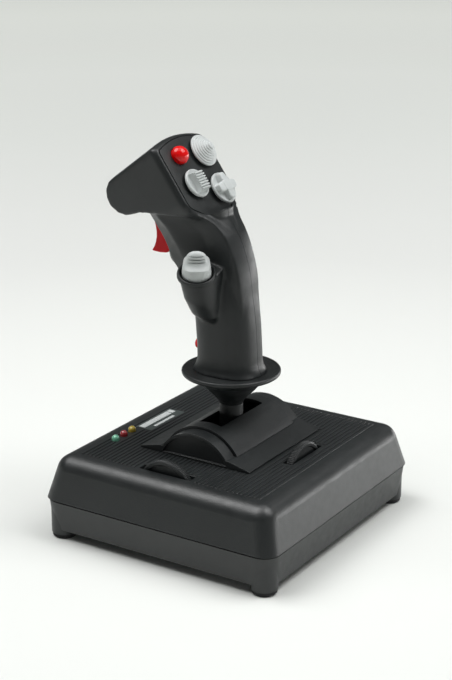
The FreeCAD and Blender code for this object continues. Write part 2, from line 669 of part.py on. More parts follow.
def guard_solid(inset):
    """The housing behind the trigger, from its lip up into the head."""
    front = [(165, 37, 13.5), (168, 42.2, 13.8), (172, 43.8, 14), (179, 44.2, 14.5), (186, 48, 15.5),
             (192, 53, 17), (198, 59, 19), (205, 63, 21)]
    back = 2
    rings = [oval(z, (y + back) / 2, half_x - inset, (y - back) / 2 - inset) for z, y, half_x in front]
    return Part.makeLoft(rings, True, False)


PANEL = Placement(Vector(STICK.x, SIZE["panel_y"], SIZE["panel_z"]),
                  Rotation(Vector(1, 0, 0), SIZE["panel_tilt"]))


def panel_face(grow, corner=3):
    """The panel's outline in its own plane: arched top, straight sides, narrow foot."""
    half, side = SIZE["panel_half"], SIZE["panel_side"]
    foot, long, crown = SIZE["panel_foot"], SIZE["panel_length"], SIZE["panel_crown"]
    top_left, top_right = Vector(-half, 0, 0), Vector(half, 0, 0)
    corners = [top_right, Vector(half, -side, 0), Vector(foot, -long, 0), Vector(-foot, -long, 0),
               Vector(-half, -side, 0), top_left]
    edges = [Part.Arc(top_left, Vector(0, crown, 0), top_right).toShape()]
    edges += [Part.LineSegment(a, b).toShape() for a, b in zip(corners, corners[1:])]
    sharp = Part.Face(Part.Wire(edges)).makeOffset2D(-corner, join=2)
    return sharp.makeOffset2D(corner + grow, join=0)


def panel_prism(grow, low, high):
    """The outline made solid between two depths measured from the panel's face."""
    face = panel_face(grow)
    face.translate(Vector(0, 0, low))
    prism = face.extrude(Vector(0, 0, high - low))
    prism.Placement = PANEL
    return prism


HEAD_LENGTH = 58
NOSE_SCALE = 0.74
HEAD_SINK = 0.7


def head_block(inset):
    """The head narrows from the panel's rim to the nose."""
    near = panel_face(SIZE["head_rim"] - inset).OuterWire
    far = near.copy()
    far.scale(NOSE_SCALE, Vector(0, SIZE["head_rim"] - inset, 0))
    near.translate(Vector(0, 0, -HEAD_SINK - inset))
    far.translate(Vector(0, 0, -HEAD_LENGTH))
    block_shape = Part.makeLoft([near, far], True, True)
    block_shape.Placement = PANEL
    return block_shape


def side_prism(points, half_x):
    """A side view pushed out both ways from the stick's middle plane."""
    corners = [Vector(STICK.x - half_x, y, z) for y, z in points]
    return Part.Face(Part.makePolygon(corners + corners[:1])).extrude(Vector(2 * half_x, 0, 0))


def head_solid(inset):
    """The head with the underside over the trigger and the rounded nose cut to the side view."""
    nose = [(-20, 255), (70, 255), (78.4, 213.4), (80, 209.4), (79.4, 204.6), (76.6, 199.8), (71, 196.6),
            (64.5, 195.8), (59, 197.4), (53, 198.8), (40, 197), (20, 192), (-20, 188)]
    side_view = side_prism(nose, 40)
    side_view.translate(Vector(0, -inset, inset))
    return head_block(inset).common(side_view)


def shoulder_solid(inset):
    """The flare that carries the handle's sides out to the width of the head."""
    levels = [(176, -8, 36, 14.6), (182, -6.5, 40, 16), (188, -3.5, 43, 17.6), (194, 1, 47, 19.8),
              (199, 5, 50, 22.2), (204, 9, 53, 24.4)]
    rings = [oval(z, (back + front) / 2, half_x - inset, (front - back) / 2 - inset)
             for z, back, front, half_x in levels]
    return Part.makeLoft(rings, True, False)


BOSS_AXIS = Vector(-0.343, -0.219, 0.9135)
BOSS_MOUTH = Vector(-25, 8.6, 168.5)
BOSS_TURN = Rotation(Vector(0, 0, 1), BOSS_AXIS)


def boss_ring(middle, half_x, half_y):
    ring = oval(0, 0, half_x, half_y, 20)
    ring.translate(Vector(-STICK.x, 0, 0))
    ring.Placement = Placement(middle, BOSS_TURN)
    return ring


def boss_solid(inset):
    """The pod on the left side that carries the thumb hat, tapering into the handle."""
    rings = [boss_ring(Vector(-10, 8, 136), 6 - inset, 6 - inset),
             boss_ring(Vector(-13.6, 8.2, 144), 9.6 - inset, 8.2 - inset),
             boss_ring(Vector(-17.5, 8.6, 155), 13 - inset, 9.8 - inset),
             boss_ring(BOSS_MOUTH + Vector(5.5, 0, 1.2), 16 - inset, 11 - inset)]
    return Part.makeLoft(rings, True, False)


def behind_panel():
    """Room to take off whatever stands proud of the head behind the panel's rim."""
    room = Part.makeBox(120, 80, 40, Vector(-60, -SIZE["panel_length"] - 3, -HEAD_SINK))
    room.Placement = PANEL
    return room


# ---------------------------------------------------------------- grip shells

HALF_OUT = 40


def on_x(radius, y, z, start, length):
    """A rod across the grip, measured from the stick's middle plane."""
    return Part.makeCylinder(radius, length, Vector(STICK.x + start, y, z), Vector(1, 0, 0))


def on_mouth(radius, low, high):
    """A rod on the thumb hat's axis, measured from the boss's mouth."""
    return Part.makeCylinder(radius, high - low, BOSS_MOUTH + BOSS_AXIS * low, BOSS_AXIS)


def grip_box(half_x, y, z):
    """A box across the middle plane between two Y and two Z."""
    return Part.makeBox(2 * half_x, y[1] - y[0], z[1] - z[0], Vector(STICK.x - half_x, y[0], z[0]))


WALL = SIZE["grip_wall"]
TRIGGER_PIVOT = (46.5, 188)
PINKY_Z = 114
PINKY_Y = 17
GRIP_POSTS = [(1.6, 123), (5, 151), (66, 207)]
SWITCH_Y, SWITCH_Z = (26, 32), (170, 184)

outside = handle_solid(0).fuse([guard_solid(0), head_solid(0), shoulder_solid(0), boss_solid(0)])
outside = outside.cut(behind_panel())
under_skin = behind_panel()
under_skin.translate(PANEL.Rotation.multVec(Vector(0, 0, -WALL)))
floor_block = Part.makeBox(120, 120, 40, Vector(-60, -60, GRIP_FLOOR + WALL - 40))
grip = outside
for hollow in (handle_solid(WALL).cut(floor_block), guard_solid(WALL), head_solid(WALL), shoulder_solid(WALL)):
    grip = grip.cut(hollow.cut(under_skin))

posts = [on_x(3.6, y, z, -HALF_OUT, 2 * HALF_OUT) for y, z in GRIP_POSTS]
lugs = [Part.makeBox(2.6, 9, 7, Vector(STICK.x + x, TRIGGER_PIVOT[0] - 5, TRIGGER_PIVOT[1] - 3.5))
        for x in (SIZE["trigger_half"] + 0.5, -SIZE["trigger_half"] - 3.1)]
switch_rib = Part.makeBox(12, 4, 8, Vector(STICK.x - 16.05, SWITCH_Y[0] + 1, SWITCH_Z[0] + 2))
for piece in posts + lugs + [switch_rib]:
    grip = grip.fuse(piece.common(outside))

trigger_room = SIZE["trigger_half"] + 0.4
openings = [panel_prism(0.35, -SIZE["panel_thick"], 12), panel_prism(-2.2, -9, 12),
            Part.makeCylinder(SIZE["shaft_radius"] - 1.5 + 0.2, 12, Vector(STICK.x, STICK.y, GRIP_FLOOR - 1)),
            grip_box(trigger_room, (36, 62), (168.6, 192.6)),
            on_x(1.55, *TRIGGER_PIVOT, -9.5, 19),
            Part.makeCylinder(3.7, 14, Vector(STICK.x, 15, PINKY_Z), Vector(0, 1, 0)),
            on_mouth(9.9, -3.6, 14), on_mouth(5.3, -12, 0)]
trunnion_way = Part.makeCylinder(0.95, 13.6, Vector(-6.8, 0, -6), Vector(1, 0, 0))
trunnion_way.Placement = Placement(BOSS_MOUTH, BOSS_TURN)
openings.append(trunnion_way)
for y, z in GRIP_POSTS:
    openings += [on_x(1.5, y, z, -9, 22), on_x(3.2, y, z, 13, HALF_OUT)]
for opening in openings:
    grip = grip.cut(opening)


def grip_half(name, side):
    """One shell: the grip on one side of the middle plane."""
    start = STICK.x if side > 0 else STICK.x - HALF_OUT
    room = Part.makeBox(HALF_OUT, 140, 180, Vector(start, -50, 90))
    solids = sorted(grip.common(room).Solids, key=lambda solid: solid.Volume)
    return node(placed(name, solids[-1]))


grip_half("grip_left_shell", -1)
grip_half("grip_right_shell", 1)


def grip_screw(y, z):
    return Part.makeCompound([on_x(3, y, z, 13, 2).fuse(on_x(1.4, y, z, -8, 21))])


node(placed("grip_screws", Part.makeCompound([grip_screw(y, z).Solids[0] for y, z in GRIP_POSTS])))

# ---------------------------------------------------------------- trigger and lower button

trigger = body("trigger")
trigger_side = polygon(sketch(trigger, "trigger_side", "YZ_Plane"),
                       [(43, 191), (54.4, 191.4), (53, 186.5), (52.7, 181.5), (53.7, 175.8), (56.4, 170.6),
                        (44.6, 171.2), (41.6, 174), (41.6, 184)])
trigger_pad = pad(trigger, trigger_side, "2 * trigger_half", both=True)
trigger_bore = sketch(trigger, "trigger_bore", "YZ_Plane")
circle(trigger_bore, *TRIGGER_PIVOT, "1.5 + running")
trigger_way = trigger.newObject("PartDesign::Pocket", "trigger_way")
trigger_way.Profile = trigger_bore
trigger_way.Type = "ThroughAll"
trigger_way.Midplane = True
move_to(trigger, "stick_x", "0", "0")
doc.recompute()
if trigger_way.Shape.Volume >= trigger_pad.Shape.Volume:
    raise RuntimeError("the trigger has no bore")
node(trigger)
node(rod("trigger_pin", "+X", "stick_x - 9", TRIGGER_PIVOT[0], TRIGGER_PIVOT[1], "1.5", "18"))
node(block("trigger_switch", "stick_x - 4", SWITCH_Y[0], SWITCH_Z[0], "8", SWITCH_Y[1] - SWITCH_Y[0],
           SWITCH_Z[1] - SWITCH_Z[0]))
spring_z = 178
spring_tube = rod("spring_tube", "+Y", "stick_x", SWITCH_Y[1], spring_z, "2.6", "9.4")
spring_bore = rod("spring_bore", "+Y", "stick_x", SWITCH_Y[1] - 1, spring_z, "1.8", "12")
node(cut("trigger_spring", spring_tube, [spring_bore]))

pinky_stem = rod("pinky_stem", "+Y", "stick_x", PINKY_Y, PINKY_Z, "3.4", "9")
pinky_whole = common("pinky_domed", pinky_stem, ball("pinky_face", "stick_x", PINKY_Y + 3.6, PINKY_Z, "5.4"))
pinky_flange = rod("pinky_flange", "+Y", "stick_x", PINKY_Y - 1, PINKY_Z, "4.4", "2.2")
node(fuse("pinky_button", [pinky_whole, pinky_flange]))
node(block("pinky_switch", "stick_x - 4", "8.2", PINKY_Z - 4, "8", "5.8", "8"))

# ---------------------------------------------------------------- button panel, hats and red button

PIVOT_DEPTH = 5
CONTROLS = {"red_button": (-10.3, -6.6), "pov_hat": (13.5, -8.6), "castle_hat": (-10.1, -26.6),
            "cross_hat": (12.1, -34.9)}
HATS = ["pov_hat", "castle_hat", "cross_hat"]


def panel_rod(name, radius, low, high):
    """A cylinder square to the panel at one of its controls."""
    x, y = CONTROLS[name]
    cylinder = Part.makeCylinder(radius, high - low, Vector(x, y, low))
    cylinder.Placement = PANEL
    return cylinder


plate = panel_prism(0, -SIZE["panel_thick"], 0)
for name in HATS:
    plate = plate.fuse(panel_rod(name, 7.4, -PIVOT_DEPTH - 2.5, -SIZE["panel_thick"]))
for name in HATS:
    x, y = CONTROLS[name]
    way = Part.makeCylinder(0.95, 16, Vector(x - 8, y, -PIVOT_DEPTH), Vector(1, 0, 0))
    way.Placement = PANEL
    plate = plate.cut([panel_rod(name, 5.4, -PIVOT_DEPTH - 3, -SIZE["panel_thick"]),
                       panel_rod(name, 4.6, -PIVOT_DEPTH, 1), way])
plate = plate.cut(panel_rod("red_button", 5.7, -PIVOT_DEPTH, 1))
node(placed("button_panel", plate.Solids[0]))

button_board = Part.makeBox(34, 34, 1.6, Vector(-17, -37, -14))
button_board.Placement = PANEL
node(placed("button_board", button_board))


def spot(name):
    """Where a control stands on the panel, its Z square to the panel."""
    x, y = CONTROLS[name]
    return PANEL.multiply(Placement(Vector(x, y, 0), Rotation()))


def turned(name, profile):
    """A turned body from its half outline."""
    owner = body(name)
    revolve(owner, polygon(sketch(owner, f"{name}_half", "XZ_Plane"), profile))
    return owner


def hat_cap(name, profile, extras, place, pivot_depth):
    """A cap on a stem whose cross pins turn in the rocker ring."""
    stem_end = -pivot_depth - 3
    start = [(0, stem_end), (2.2, stem_end), (2.2, profile[0][1])]
    owner = turned(f"{name}_form", start + profile)
    cross_pin = rod(f"{name}_cross_pin", "+Y", "0", "-4.2", -pivot_depth, "0.9", "8.4")
    cap = fuse(name, [owner, cross_pin] + extras)
    cap.Placement = place
    return node(cap)


def hat_rocker(name, place, pivot_depth, reach):
    """The ring between a hat's two tilts, with its own pair of stubs."""
    low = -pivot_depth - 1.2
    stubs = rod(f"{name}_stubs", "+X", -reach, "0", -pivot_depth, "0.9", 2 * reach)
    whole = fuse(f"{name}_blank", [rod(f"{name}_ring", "+Z", "0", "0", low, "4.5", "2.4"), stubs])
    ways = [rod(f"{name}_window", "+Z", "0", "0", low - 1, "3", "5"),
            rod(f"{name}_pin_way", "+Y", "0", "-5", -pivot_depth, "0.95", "10")]
    ring = cut(name, whole, ways)
    ring.Placement = place
    return node(ring)


RISE = 1.3
pov_profile = [(9.0, RISE), (9.8, 2.0), (9.8, 3.2), (8.3, 3.5), (8.3, 4.5), (6.7, 4.8), (6.7, 5.8),
               (5.1, 6.1), (5.1, 7.0), (3.5, 7.3), (3.5, 8.2), (1.9, 8.5), (1.9, 9.2), (0, 9.4)]
castle_profile = [(8.0, RISE), (8.7, 2.0), (8.7, 3.4), (7.9, 4.2), (0, 4.2)]
cross_profile = [(8.5, RISE), (9.2, 2.0), (9.2, 3.4), (8.3, 4.2), (0, 4.2)]
castle_extras = [centred_block("castle_block", "0", "0", "4", "5.4", "4.9", "2")]
castle_extras += [centred_block(f"castle_ridge_{i}", 2.2 * i, "0", "5.8", "0.6", "4.9", "1.6")
                  for i in range(-2, 3)]
cross_extras = [centred_block("cross_bar", "0", "0", "4", "8", "2.9", "2.8"),
                centred_block("cross_post", "0", "0", "4", "2.9", "8", "2.8"),
                centred_block("cross_middle", "0", "0", "6", "2.2", "2.2", "1.4")]

for name, profile, extras in (("pov_hat", pov_profile, []), ("castle_hat", castle_profile, castle_extras),
                              ("cross_hat", cross_profile, cross_extras)):
    hat_cap(name, profile, extras, spot(name), PIVOT_DEPTH)
    hat_rocker(f"{name}_rocker", spot(name), PIVOT_DEPTH, 7)

thumb_profile = [(7.4, -1.2), (9.0, -0.2), (9.0, 1.2), (8.6, 3.8), (8.0, 6.4), (7.2, 8.8), (6.3, 11),
                 (5.2, 13.2), (3.8, 15.1), (2.1, 16.6), (0, 17.2)]
thumb_place = Placement(BOSS_MOUTH, BOSS_TURN)
hat_cap("thumb_hat", thumb_profile, [], thumb_place, 6)
hat_rocker("thumb_hat_rocker", thumb_place, 6, 6.4)

red_form = turned("red_form", [(0, -4.8), (6.6, -4.8), (6.6, -3.4), (5.4, -3.4), (5.4, 1.7), (5.9, 1.8),
                               (5.9, 2.2), (5.5, 3.9), (4.6, 5.3), (3.2, 6.4), (1.6, 7.0), (0, 7.2)])
red_button = fuse("red_button", [red_form, rod("red_core", "+Z", "0", "0", "-4.8", "2", "4")])
red_button.Placement = spot("red_button")
node(red_button)

# ---------------------------------------------------------------- checks and files

doc.recompute()
for thing in doc.Objects:
    if "Invalid" in thing.State or "Error" in thing.State:
        raise RuntimeError(f"{thing.Name} failed: {thing.State}")
for thing in NODES:
    if thing.Shape.isNull() or not thing.Shape.isValid():
        raise RuntimeError(f"{thing.Label} has no valid shape")
for thing in NODES:
    thing.Shape.exportStep(f"parts/{thing.Label}.step")
print(len(NODES), "nodes written")
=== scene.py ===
import json
import math

import bmesh
import bpy
import numpy as np
from mathutils import Matrix, Vector


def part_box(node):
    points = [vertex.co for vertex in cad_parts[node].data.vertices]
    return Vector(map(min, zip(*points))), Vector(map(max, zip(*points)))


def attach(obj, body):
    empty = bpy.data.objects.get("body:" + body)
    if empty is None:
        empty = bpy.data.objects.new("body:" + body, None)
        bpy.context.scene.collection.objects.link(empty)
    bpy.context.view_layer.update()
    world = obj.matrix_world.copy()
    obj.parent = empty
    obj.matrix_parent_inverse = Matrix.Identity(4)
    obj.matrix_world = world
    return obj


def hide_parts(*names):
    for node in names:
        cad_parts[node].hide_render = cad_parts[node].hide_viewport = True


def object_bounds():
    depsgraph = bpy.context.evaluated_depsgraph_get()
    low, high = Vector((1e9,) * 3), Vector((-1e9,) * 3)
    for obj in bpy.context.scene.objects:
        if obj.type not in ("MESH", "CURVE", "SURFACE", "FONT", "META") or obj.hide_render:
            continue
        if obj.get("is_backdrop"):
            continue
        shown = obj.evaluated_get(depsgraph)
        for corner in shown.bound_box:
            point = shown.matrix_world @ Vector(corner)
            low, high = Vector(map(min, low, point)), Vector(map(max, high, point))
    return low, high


# The flight joystick's visible skin. The tables are in millimetres, and every object is built in metres.

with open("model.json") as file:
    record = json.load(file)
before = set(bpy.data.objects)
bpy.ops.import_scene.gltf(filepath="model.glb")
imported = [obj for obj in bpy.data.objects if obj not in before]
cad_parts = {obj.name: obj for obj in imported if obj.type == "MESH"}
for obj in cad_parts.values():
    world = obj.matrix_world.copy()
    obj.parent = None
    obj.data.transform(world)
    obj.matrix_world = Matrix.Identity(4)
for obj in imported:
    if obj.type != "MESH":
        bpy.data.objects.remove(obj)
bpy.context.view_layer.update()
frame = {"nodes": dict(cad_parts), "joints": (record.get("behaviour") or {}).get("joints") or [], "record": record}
NODES = frame["nodes"]
JOINTS = {joint["name"]: joint for joint in frame["joints"]}
MM = 0.001
CYLINDER_SIDES = 64
scene = bpy.context.scene
scene.view_settings.view_transform = "Standard"

# ---------------------------------------------------------------- materials


def new_material(name):
    material = bpy.data.materials.new(name)
    material.use_nodes = True
    return material, material.node_tree, material.node_tree.nodes["Principled BSDF"]


def add(tree, kind, links=None, **settings):
    """A node with its settings, its inputs by name, and links from other sockets."""
    made = tree.nodes.new(kind)
    for name, value in settings.items():
        if name in made.inputs:
            made.inputs[name].default_value = value
        else:
            setattr(made, name, value)
    for name, source in (links or {}).items():
        tree.links.new(source, made.inputs[name])
    return made


def place_of(tree, stretch=(1, 1, 1)):
    """Object coordinates, stretched."""
    coordinates = add(tree, "ShaderNodeTexCoord")
    mapping = add(tree, "ShaderNodeMapping", {"Vector": coordinates.outputs["Object"]}, Scale=stretch)
    return mapping.outputs["Vector"]


def noise(tree, scale, detail=3.0, stretch=(1, 1, 1)):
    return add(tree, "ShaderNodeTexNoise", {"Vector": place_of(tree, stretch)}, Scale=scale,
               Detail=detail).outputs["Fac"]


def ramp(tree, factor, stops):
    """A colour ramp through (position, colour) stops."""
    made = add(tree, "ShaderNodeValToRGB", {"Fac": factor})
    elements = made.color_ramp.elements
    while len(elements) < len(stops):
        elements.new(0.5)
    for element, (position, colour) in zip(elements, stops):
        element.position = position
        element.color = (*colour, 1)
    return made.outputs["Color"]


def spread(tree, factor, low, high):
    """The middle of a noise mapped to a range."""
    return add(tree, "ShaderNodeMapRange", {"Value": factor}, **{
        "From Min": 0.3, "From Max": 0.7, "To Min": low, "To Max": high}).outputs["Result"]


def scaled(colour, by):
    return tuple(min(1.0, channel * by) for channel in colour)


def bump(tree, height, depth, before=None):
    links = {"Height": height}
    if before is not None:
        links["Normal"] = before
    return add(tree, "ShaderNodeBump", links, Strength=1.0, Distance=depth).outputs["Normal"]


def plastic(name, colour, rough, grain=1500, depth=0.00006, mottle=0.14, specular=0.5, coat=0.0, soft=0.0):
    """Moulded plastic: fine grain, slow changes of tone and uneven gloss."""
    material, tree, shader = new_material(name)
    slow = noise(tree, 34, 4)
    tree.links.new(ramp(tree, slow, [(0.3, scaled(colour, 1 - mottle)), (0.7, scaled(colour, 1 + mottle))]),
                   shader.inputs["Base Color"])
    patchy = noise(tree, 210, 5)
    tree.links.new(spread(tree, patchy, *rough), shader.inputs["Roughness"])
    fine = noise(tree, grain, 2)
    edge = add(tree, "ShaderNodeBevel", Radius=soft).outputs["Normal"] if soft else None
    tree.links.new(bump(tree, fine, depth, edge), shader.inputs["Normal"])
    shader.inputs["Specular IOR Level"].default_value = specular
    shader.inputs["Coat Weight"].default_value = coat
    shader.inputs["Coat Roughness"].default_value = 0.08
    return material


def metal(name, colour, rough, stretch=(1, 1, 12)):
    """Turned metal with fine tool lines."""
    material, tree, shader = new_material(name)
    lines = noise(tree, 900, 3, stretch)
    tree.links.new(ramp(tree, lines, [(0.3, scaled(colour, 0.75)), (0.7, scaled(colour, 1.1))]),
                   shader.inputs["Base Color"])
    tree.links.new(spread(tree, lines, *rough), shader.inputs["Roughness"])
    tree.links.new(bump(tree, lines, 0.00002), shader.inputs["Normal"])
    shader.inputs["Metallic"].default_value = 1.0
    return material


def lens(name, colour):
    """A tinted lamp dome: glossy skin over a cloudy body."""
    material, tree, shader = new_material(name)
    cloud = noise(tree, 700, 2)
    tree.links.new(ramp(tree, cloud, [(0.3, scaled(colour, 0.8)), (0.7, scaled(colour, 1.25))]),
                   shader.inputs["Base Color"])
    tree.links.new(spread(tree, cloud, 0.12, 0.22), shader.inputs["Roughness"])
    shader.inputs["Coat Weight"].default_value = 0.8
    shader.inputs["Coat Roughness"].default_value = 0.05
    return material


def circuit(name, colour, copper):
    """Solder resist with faint tracks."""
    material, tree, shader = new_material(name)
    tracks = add(tree, "ShaderNodeTexBrick", {"Vector": place_of(tree)}, Scale=180.0, **{
        "Color1": (*colour, 1), "Color2": (*scaled(colour, 1.3), 1), "Mortar": (*copper, 1),
        "Mortar Size": 0.03})
    tree.links.new(tracks.outputs["Color"], shader.inputs["Base Color"])
    tree.links.new(spread(tree, noise(tree, 300), 0.3, 0.45), shader.inputs["Roughness"])
    tree.links.new(bump(tree, tracks.outputs["Fac"], -0.00003), shader.inputs["Normal"])
    return material


BLACK = (0.0095, 0.0115, 0.0118)
GREY = (0.49, 0.515, 0.51)
MATERIALS = {
    "shell_plastic": plastic("shell_plastic", scaled(BLACK, 1.05), (0.36, 0.46), 1300, 0.00007, specular=0.6,
                             soft=0.0005),
    "cover_plastic": plastic("cover_plastic", BLACK, (0.38, 0.48), 1700, 0.00005, soft=0.0003),
    "grip_plastic": plastic("grip_plastic", BLACK, (0.38, 0.47), 1500, 0.00006, specular=0.43),
    "hat_plastic": plastic("hat_plastic", GREY, (0.38, 0.5), 1200, 0.00004, mottle=0.05),
    "button_red": plastic("button_red", (0.68, 0.0015, 0.002), (0.2, 0.3), 500, 0.00001, mottle=0.08,
                          specular=0.25, coat=0.35),
    "trigger_red": plastic("trigger_red", (0.60, 0.008, 0.012), (0.5, 0.62), 1400, 0.00004, mottle=0.1,
                           specular=0.22),
    "foot_rubber": plastic("foot_rubber", (0.012, 0.0125, 0.013), (0.55, 0.7), 2200, 0.0001, specular=0.3),
    "steel": metal("steel", (0.24, 0.24, 0.25), (0.3, 0.45)),
    "spring_steel": metal("spring_steel", (0.35, 0.35, 0.37), (0.3, 0.42)),
    "frame_plastic": plastic("frame_plastic", (0.02, 0.021, 0.022), (0.5, 0.62), 900, 0.00006),
    "pot_housing": plastic("pot_housing", (0.03, 0.06, 0.14), (0.3, 0.45), 800, 0.00004),
    "circuit_board": circuit("circuit_board", (0.01, 0.09, 0.035), (0.12, 0.28, 0.08)),
    "plate_finish": plastic("plate_finish", (0.045, 0.055, 0.053), (0.3, 0.4), 1600, 0.00002, mottle=0.1),
    "lamp_green_lens": lens("lamp_green_lens", (0.16, 0.45, 0.30)),
    "lamp_red_lens": lens("lamp_red_lens", (0.30, 0.015, 0.02)),
    "lamp_yellow_lens": lens("lamp_yellow_lens", (0.38, 0.28, 0.03)),
}
SLOT_OF = {part["node"]: part["material_slot"] for part in frame["record"]["subparts"]}
for name, node in NODES.items():
    node.data.materials.clear()
    node.data.materials.append(MATERIALS[SLOT_OF[name]])

# ---------------------------------------------------------------- mesh helpers


def make_object(name, corners, faces, matrix=None):
    """A mesh object from millimetre corners, placed by an optional frame."""
    mesh = bpy.data.meshes.new(name)
    points = [Vector(corner) * MM for corner in corners]
    if matrix is not None:
        points = [matrix @ point for point in points]
    mesh.from_pydata([tuple(point) for point in points], [], faces)
    mesh.validate()
    made = bpy.data.objects.new(name, mesh)
    scene.collection.objects.link(made)
    return made


def outward(thing):
    bm = bmesh.new()
    bm.from_mesh(thing.data)
    bmesh.ops.recalc_face_normals(bm, faces=bm.faces)
    bm.to_mesh(thing.data)
    bm.free()
    return thing


def settle(thing):
    """Apply the modifiers."""
    evaluated = thing.evaluated_get(bpy.context.evaluated_depsgraph_get())
    mesh = bpy.data.meshes.new_from_object(evaluated)
    thing.modifiers.clear()
    thing.data = mesh
    return thing


def drop(*things):
    for thing in things:
        bpy.data.objects.remove(thing)


def join(name, things):
    """Several objects' meshes in one object."""
    bm = bmesh.new()
    for thing in things:
        bm.from_mesh(thing.data)
    mesh = bpy.data.meshes.new(name)
    bm.to_mesh(mesh)
    bm.free()
    drop(*things)
    made = bpy.data.objects.new(name, mesh)
    scene.collection.objects.link(made)
    return made


def loft(name, rings, matrix=None):
    """A closed tube through rings of equal counts, capped at both ends."""
    count = len(rings[0])
    corners = [point for ring in rings for point in ring]
    faces = []
    for level in range(len(rings) - 1):
        low, high = level * count, (level + 1) * count
        for i in range(count):
            j = (i + 1) % count
            faces.append((low + i, low + j, high + j, high + i))
    faces.append(tuple(range(count))[::-1])
    faces.append(tuple(range((len(rings) - 1) * count, len(rings) * count)))
    return outward(make_object(name, corners, faces, matrix))


def prism(name, outline, low, high, matrix=None):
    """A flat (x, y) outline pushed along Z."""
    return loft(name, [[(x, y, low) for x, y in outline], [(x, y, high) for x, y in outline]], matrix)


def side_plate(name, outline, half, middle=0, matrix=None):
    """A flat (y, z) outline pushed both ways along X."""
    return loft(name, [[(middle + x, y, z) for y, z in outline] for x in (-half, half)], matrix)


def cylinder(name, radius, low, high, matrix):
    turn = 2 * math.pi / CYLINDER_SIDES
    outline = [(radius * math.cos(turn * i), radius * math.sin(turn * i)) for i in range(CYLINDER_SIDES)]
    return prism(name, outline, low, high, matrix)


def box(name, low, high):
    outline = [(low[0], low[1]), (high[0], low[1]), (high[0], high[1]), (low[0], high[1])]
    return prism(name, outline, low[2], high[2])


def rounded(profile, radii, steps=5):
    """An open outline whose inner corners are rounded."""
    points = [Vector(point) for point in profile]
    result = [points[0]]
    for before, corner, after, radius in zip(points, points[1:], points[2:], radii):
        back, ahead = before - corner, after - corner
        reach = min(radius, 0.45 * back.length, 0.45 * ahead.length)
        start, end = corner + back.normalized() * reach, corner + ahead.normalized() * reach
        for i in range(steps + 1):
            t = i / steps
            result.append((1 - t) ** 2 * start + 2 * t * (1 - t) * corner + t ** 2 * end)
    result.append(points[-1])
    return [tuple(point) for point in result]


def lathe(name, profile, matrix, radius=0.3, count=96, axis_end=True):
    """A turned solid from its half outline in (radius, height), its corners rounded."""
    outline = rounded(profile, [radius] * len(profile))
    turn = 2 * math.pi / count
    corners, faces, rings = [], [], []
    for r, z in outline:
        if r < 1e-6:
            rings.append([len(corners)] * count)
            corners.append((0, 0, z))
        else:
            rings.append([len(corners) + i for i in range(count)])
            corners += [(r * math.cos(turn * i), r * math.sin(turn * i), z) for i in range(count)]
    pairs = list(zip(rings, rings[1:]))
    if not axis_end:
        pairs.append((rings[-1], rings[0]))
    for low, high in pairs:
        for i in range(count):
            j = (i + 1) % count
            face = []
            for corner in (low[i], low[j], high[j], high[i]):
                if corner not in face:
                    face.append(corner)
            if len(face) > 2:
                faces.append(tuple(face))
    return smooth(outward(make_object(name, corners, faces, matrix)))


def smooth(thing, angle=40):
    thing.data.shade_smooth()
    bm = bmesh.new()
    bm.from_mesh(thing.data)
    limit = math.radians(angle)
    for edge in bm.edges:
        edge.smooth = len(edge.link_faces) != 2 or edge.calc_face_angle(0) < limit
    bm.to_mesh(thing.data)
    bm.free()
    return thing


def bevel(thing, width, segments=3, angle=30):
    modifier = thing.modifiers.new("bevel", "BEVEL")
    modifier.width = width * MM
    modifier.segments = segments
    modifier.limit_method = "ANGLE"
    modifier.angle_limit = math.radians(angle)
    settle(thing)
    return smooth(thing)


def combine(thing, others, operation):
    """A boolean with several closed meshes; the others are used up."""
    for other in others:
        modifier = thing.modifiers.new("boolean", "BOOLEAN")
        modifier.operation = operation
        modifier.object = other
        modifier.solver = "MANIFOLD"
    settle(thing)
    drop(*others)
    return thing


def finish_piece(thing, body, slot, replaced=()):
    """Give a piece its material and its body, and hide the nodes that it stands for."""
    thing.data.materials.clear()
    thing.data.materials.append(MATERIALS[slot])
    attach(thing, body)
    if replaced:
        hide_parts(*replaced)


# ---------------------------------------------------------------- camera, lights and stage


SENSOR_MM, LENS_MM = 36, 91.3
CAMERA_PLACE = Vector((-0.85957, -0.54612, 0.46881))
VIEW = Vector((0.7972, 0.5097, -0.3237))
# The paper's tone and a painted glow, by place from far away (0) to the middle of the floor (1): the tone lightens
# towards the middle as a painted pool of light, and the glow is painted light that brightens the far paper, which
# is no lamp.
PAPER_TONE_AND_PAINTED_LIGHT = [(0.1, (0.62, 0.63, 0.60)), (0.74, (0.66, 0.67, 0.65)), (0.93, (0.72, 0.735, 0.71))]
PAPER_PAINTED_GLOW = [(0.1, (0.43, 0.445, 0.42)), (0.35, (0.29, 0.30, 0.285)), (0.52, (0.15, 0.16, 0.15)),
              (0.65, (0.06, 0.063, 0.06)), (0.76, (0, 0, 0))]
FLOOR_HALF = 9000


def aim(thing, place, target):
    thing.location = place
    thing.rotation_mode = "QUATERNION"
    thing.rotation_quaternion = (Vector(target) - Vector(place)).to_track_quat("-Z", "Y")


camera = bpy.data.objects.new("camera", bpy.data.cameras.new("camera"))
camera.data.sensor_width = SENSOR_MM
camera.data.lens = LENS_MM
aim(camera, CAMERA_PLACE, CAMERA_PLACE + VIEW)
scene.collection.objects.link(camera)
scene.camera = camera


def area_light(name, place, size, power):
    """A rectangular light aimed at the middle of the floor."""
    light = bpy.data.lights.new(name, "AREA")
    light.shape = "RECTANGLE"
    light.size, light.size_y = size
    light.energy = power
    made = bpy.data.objects.new(name, light)
    scene.collection.objects.link(made)
    aim(made, place, (0, 0, 0))


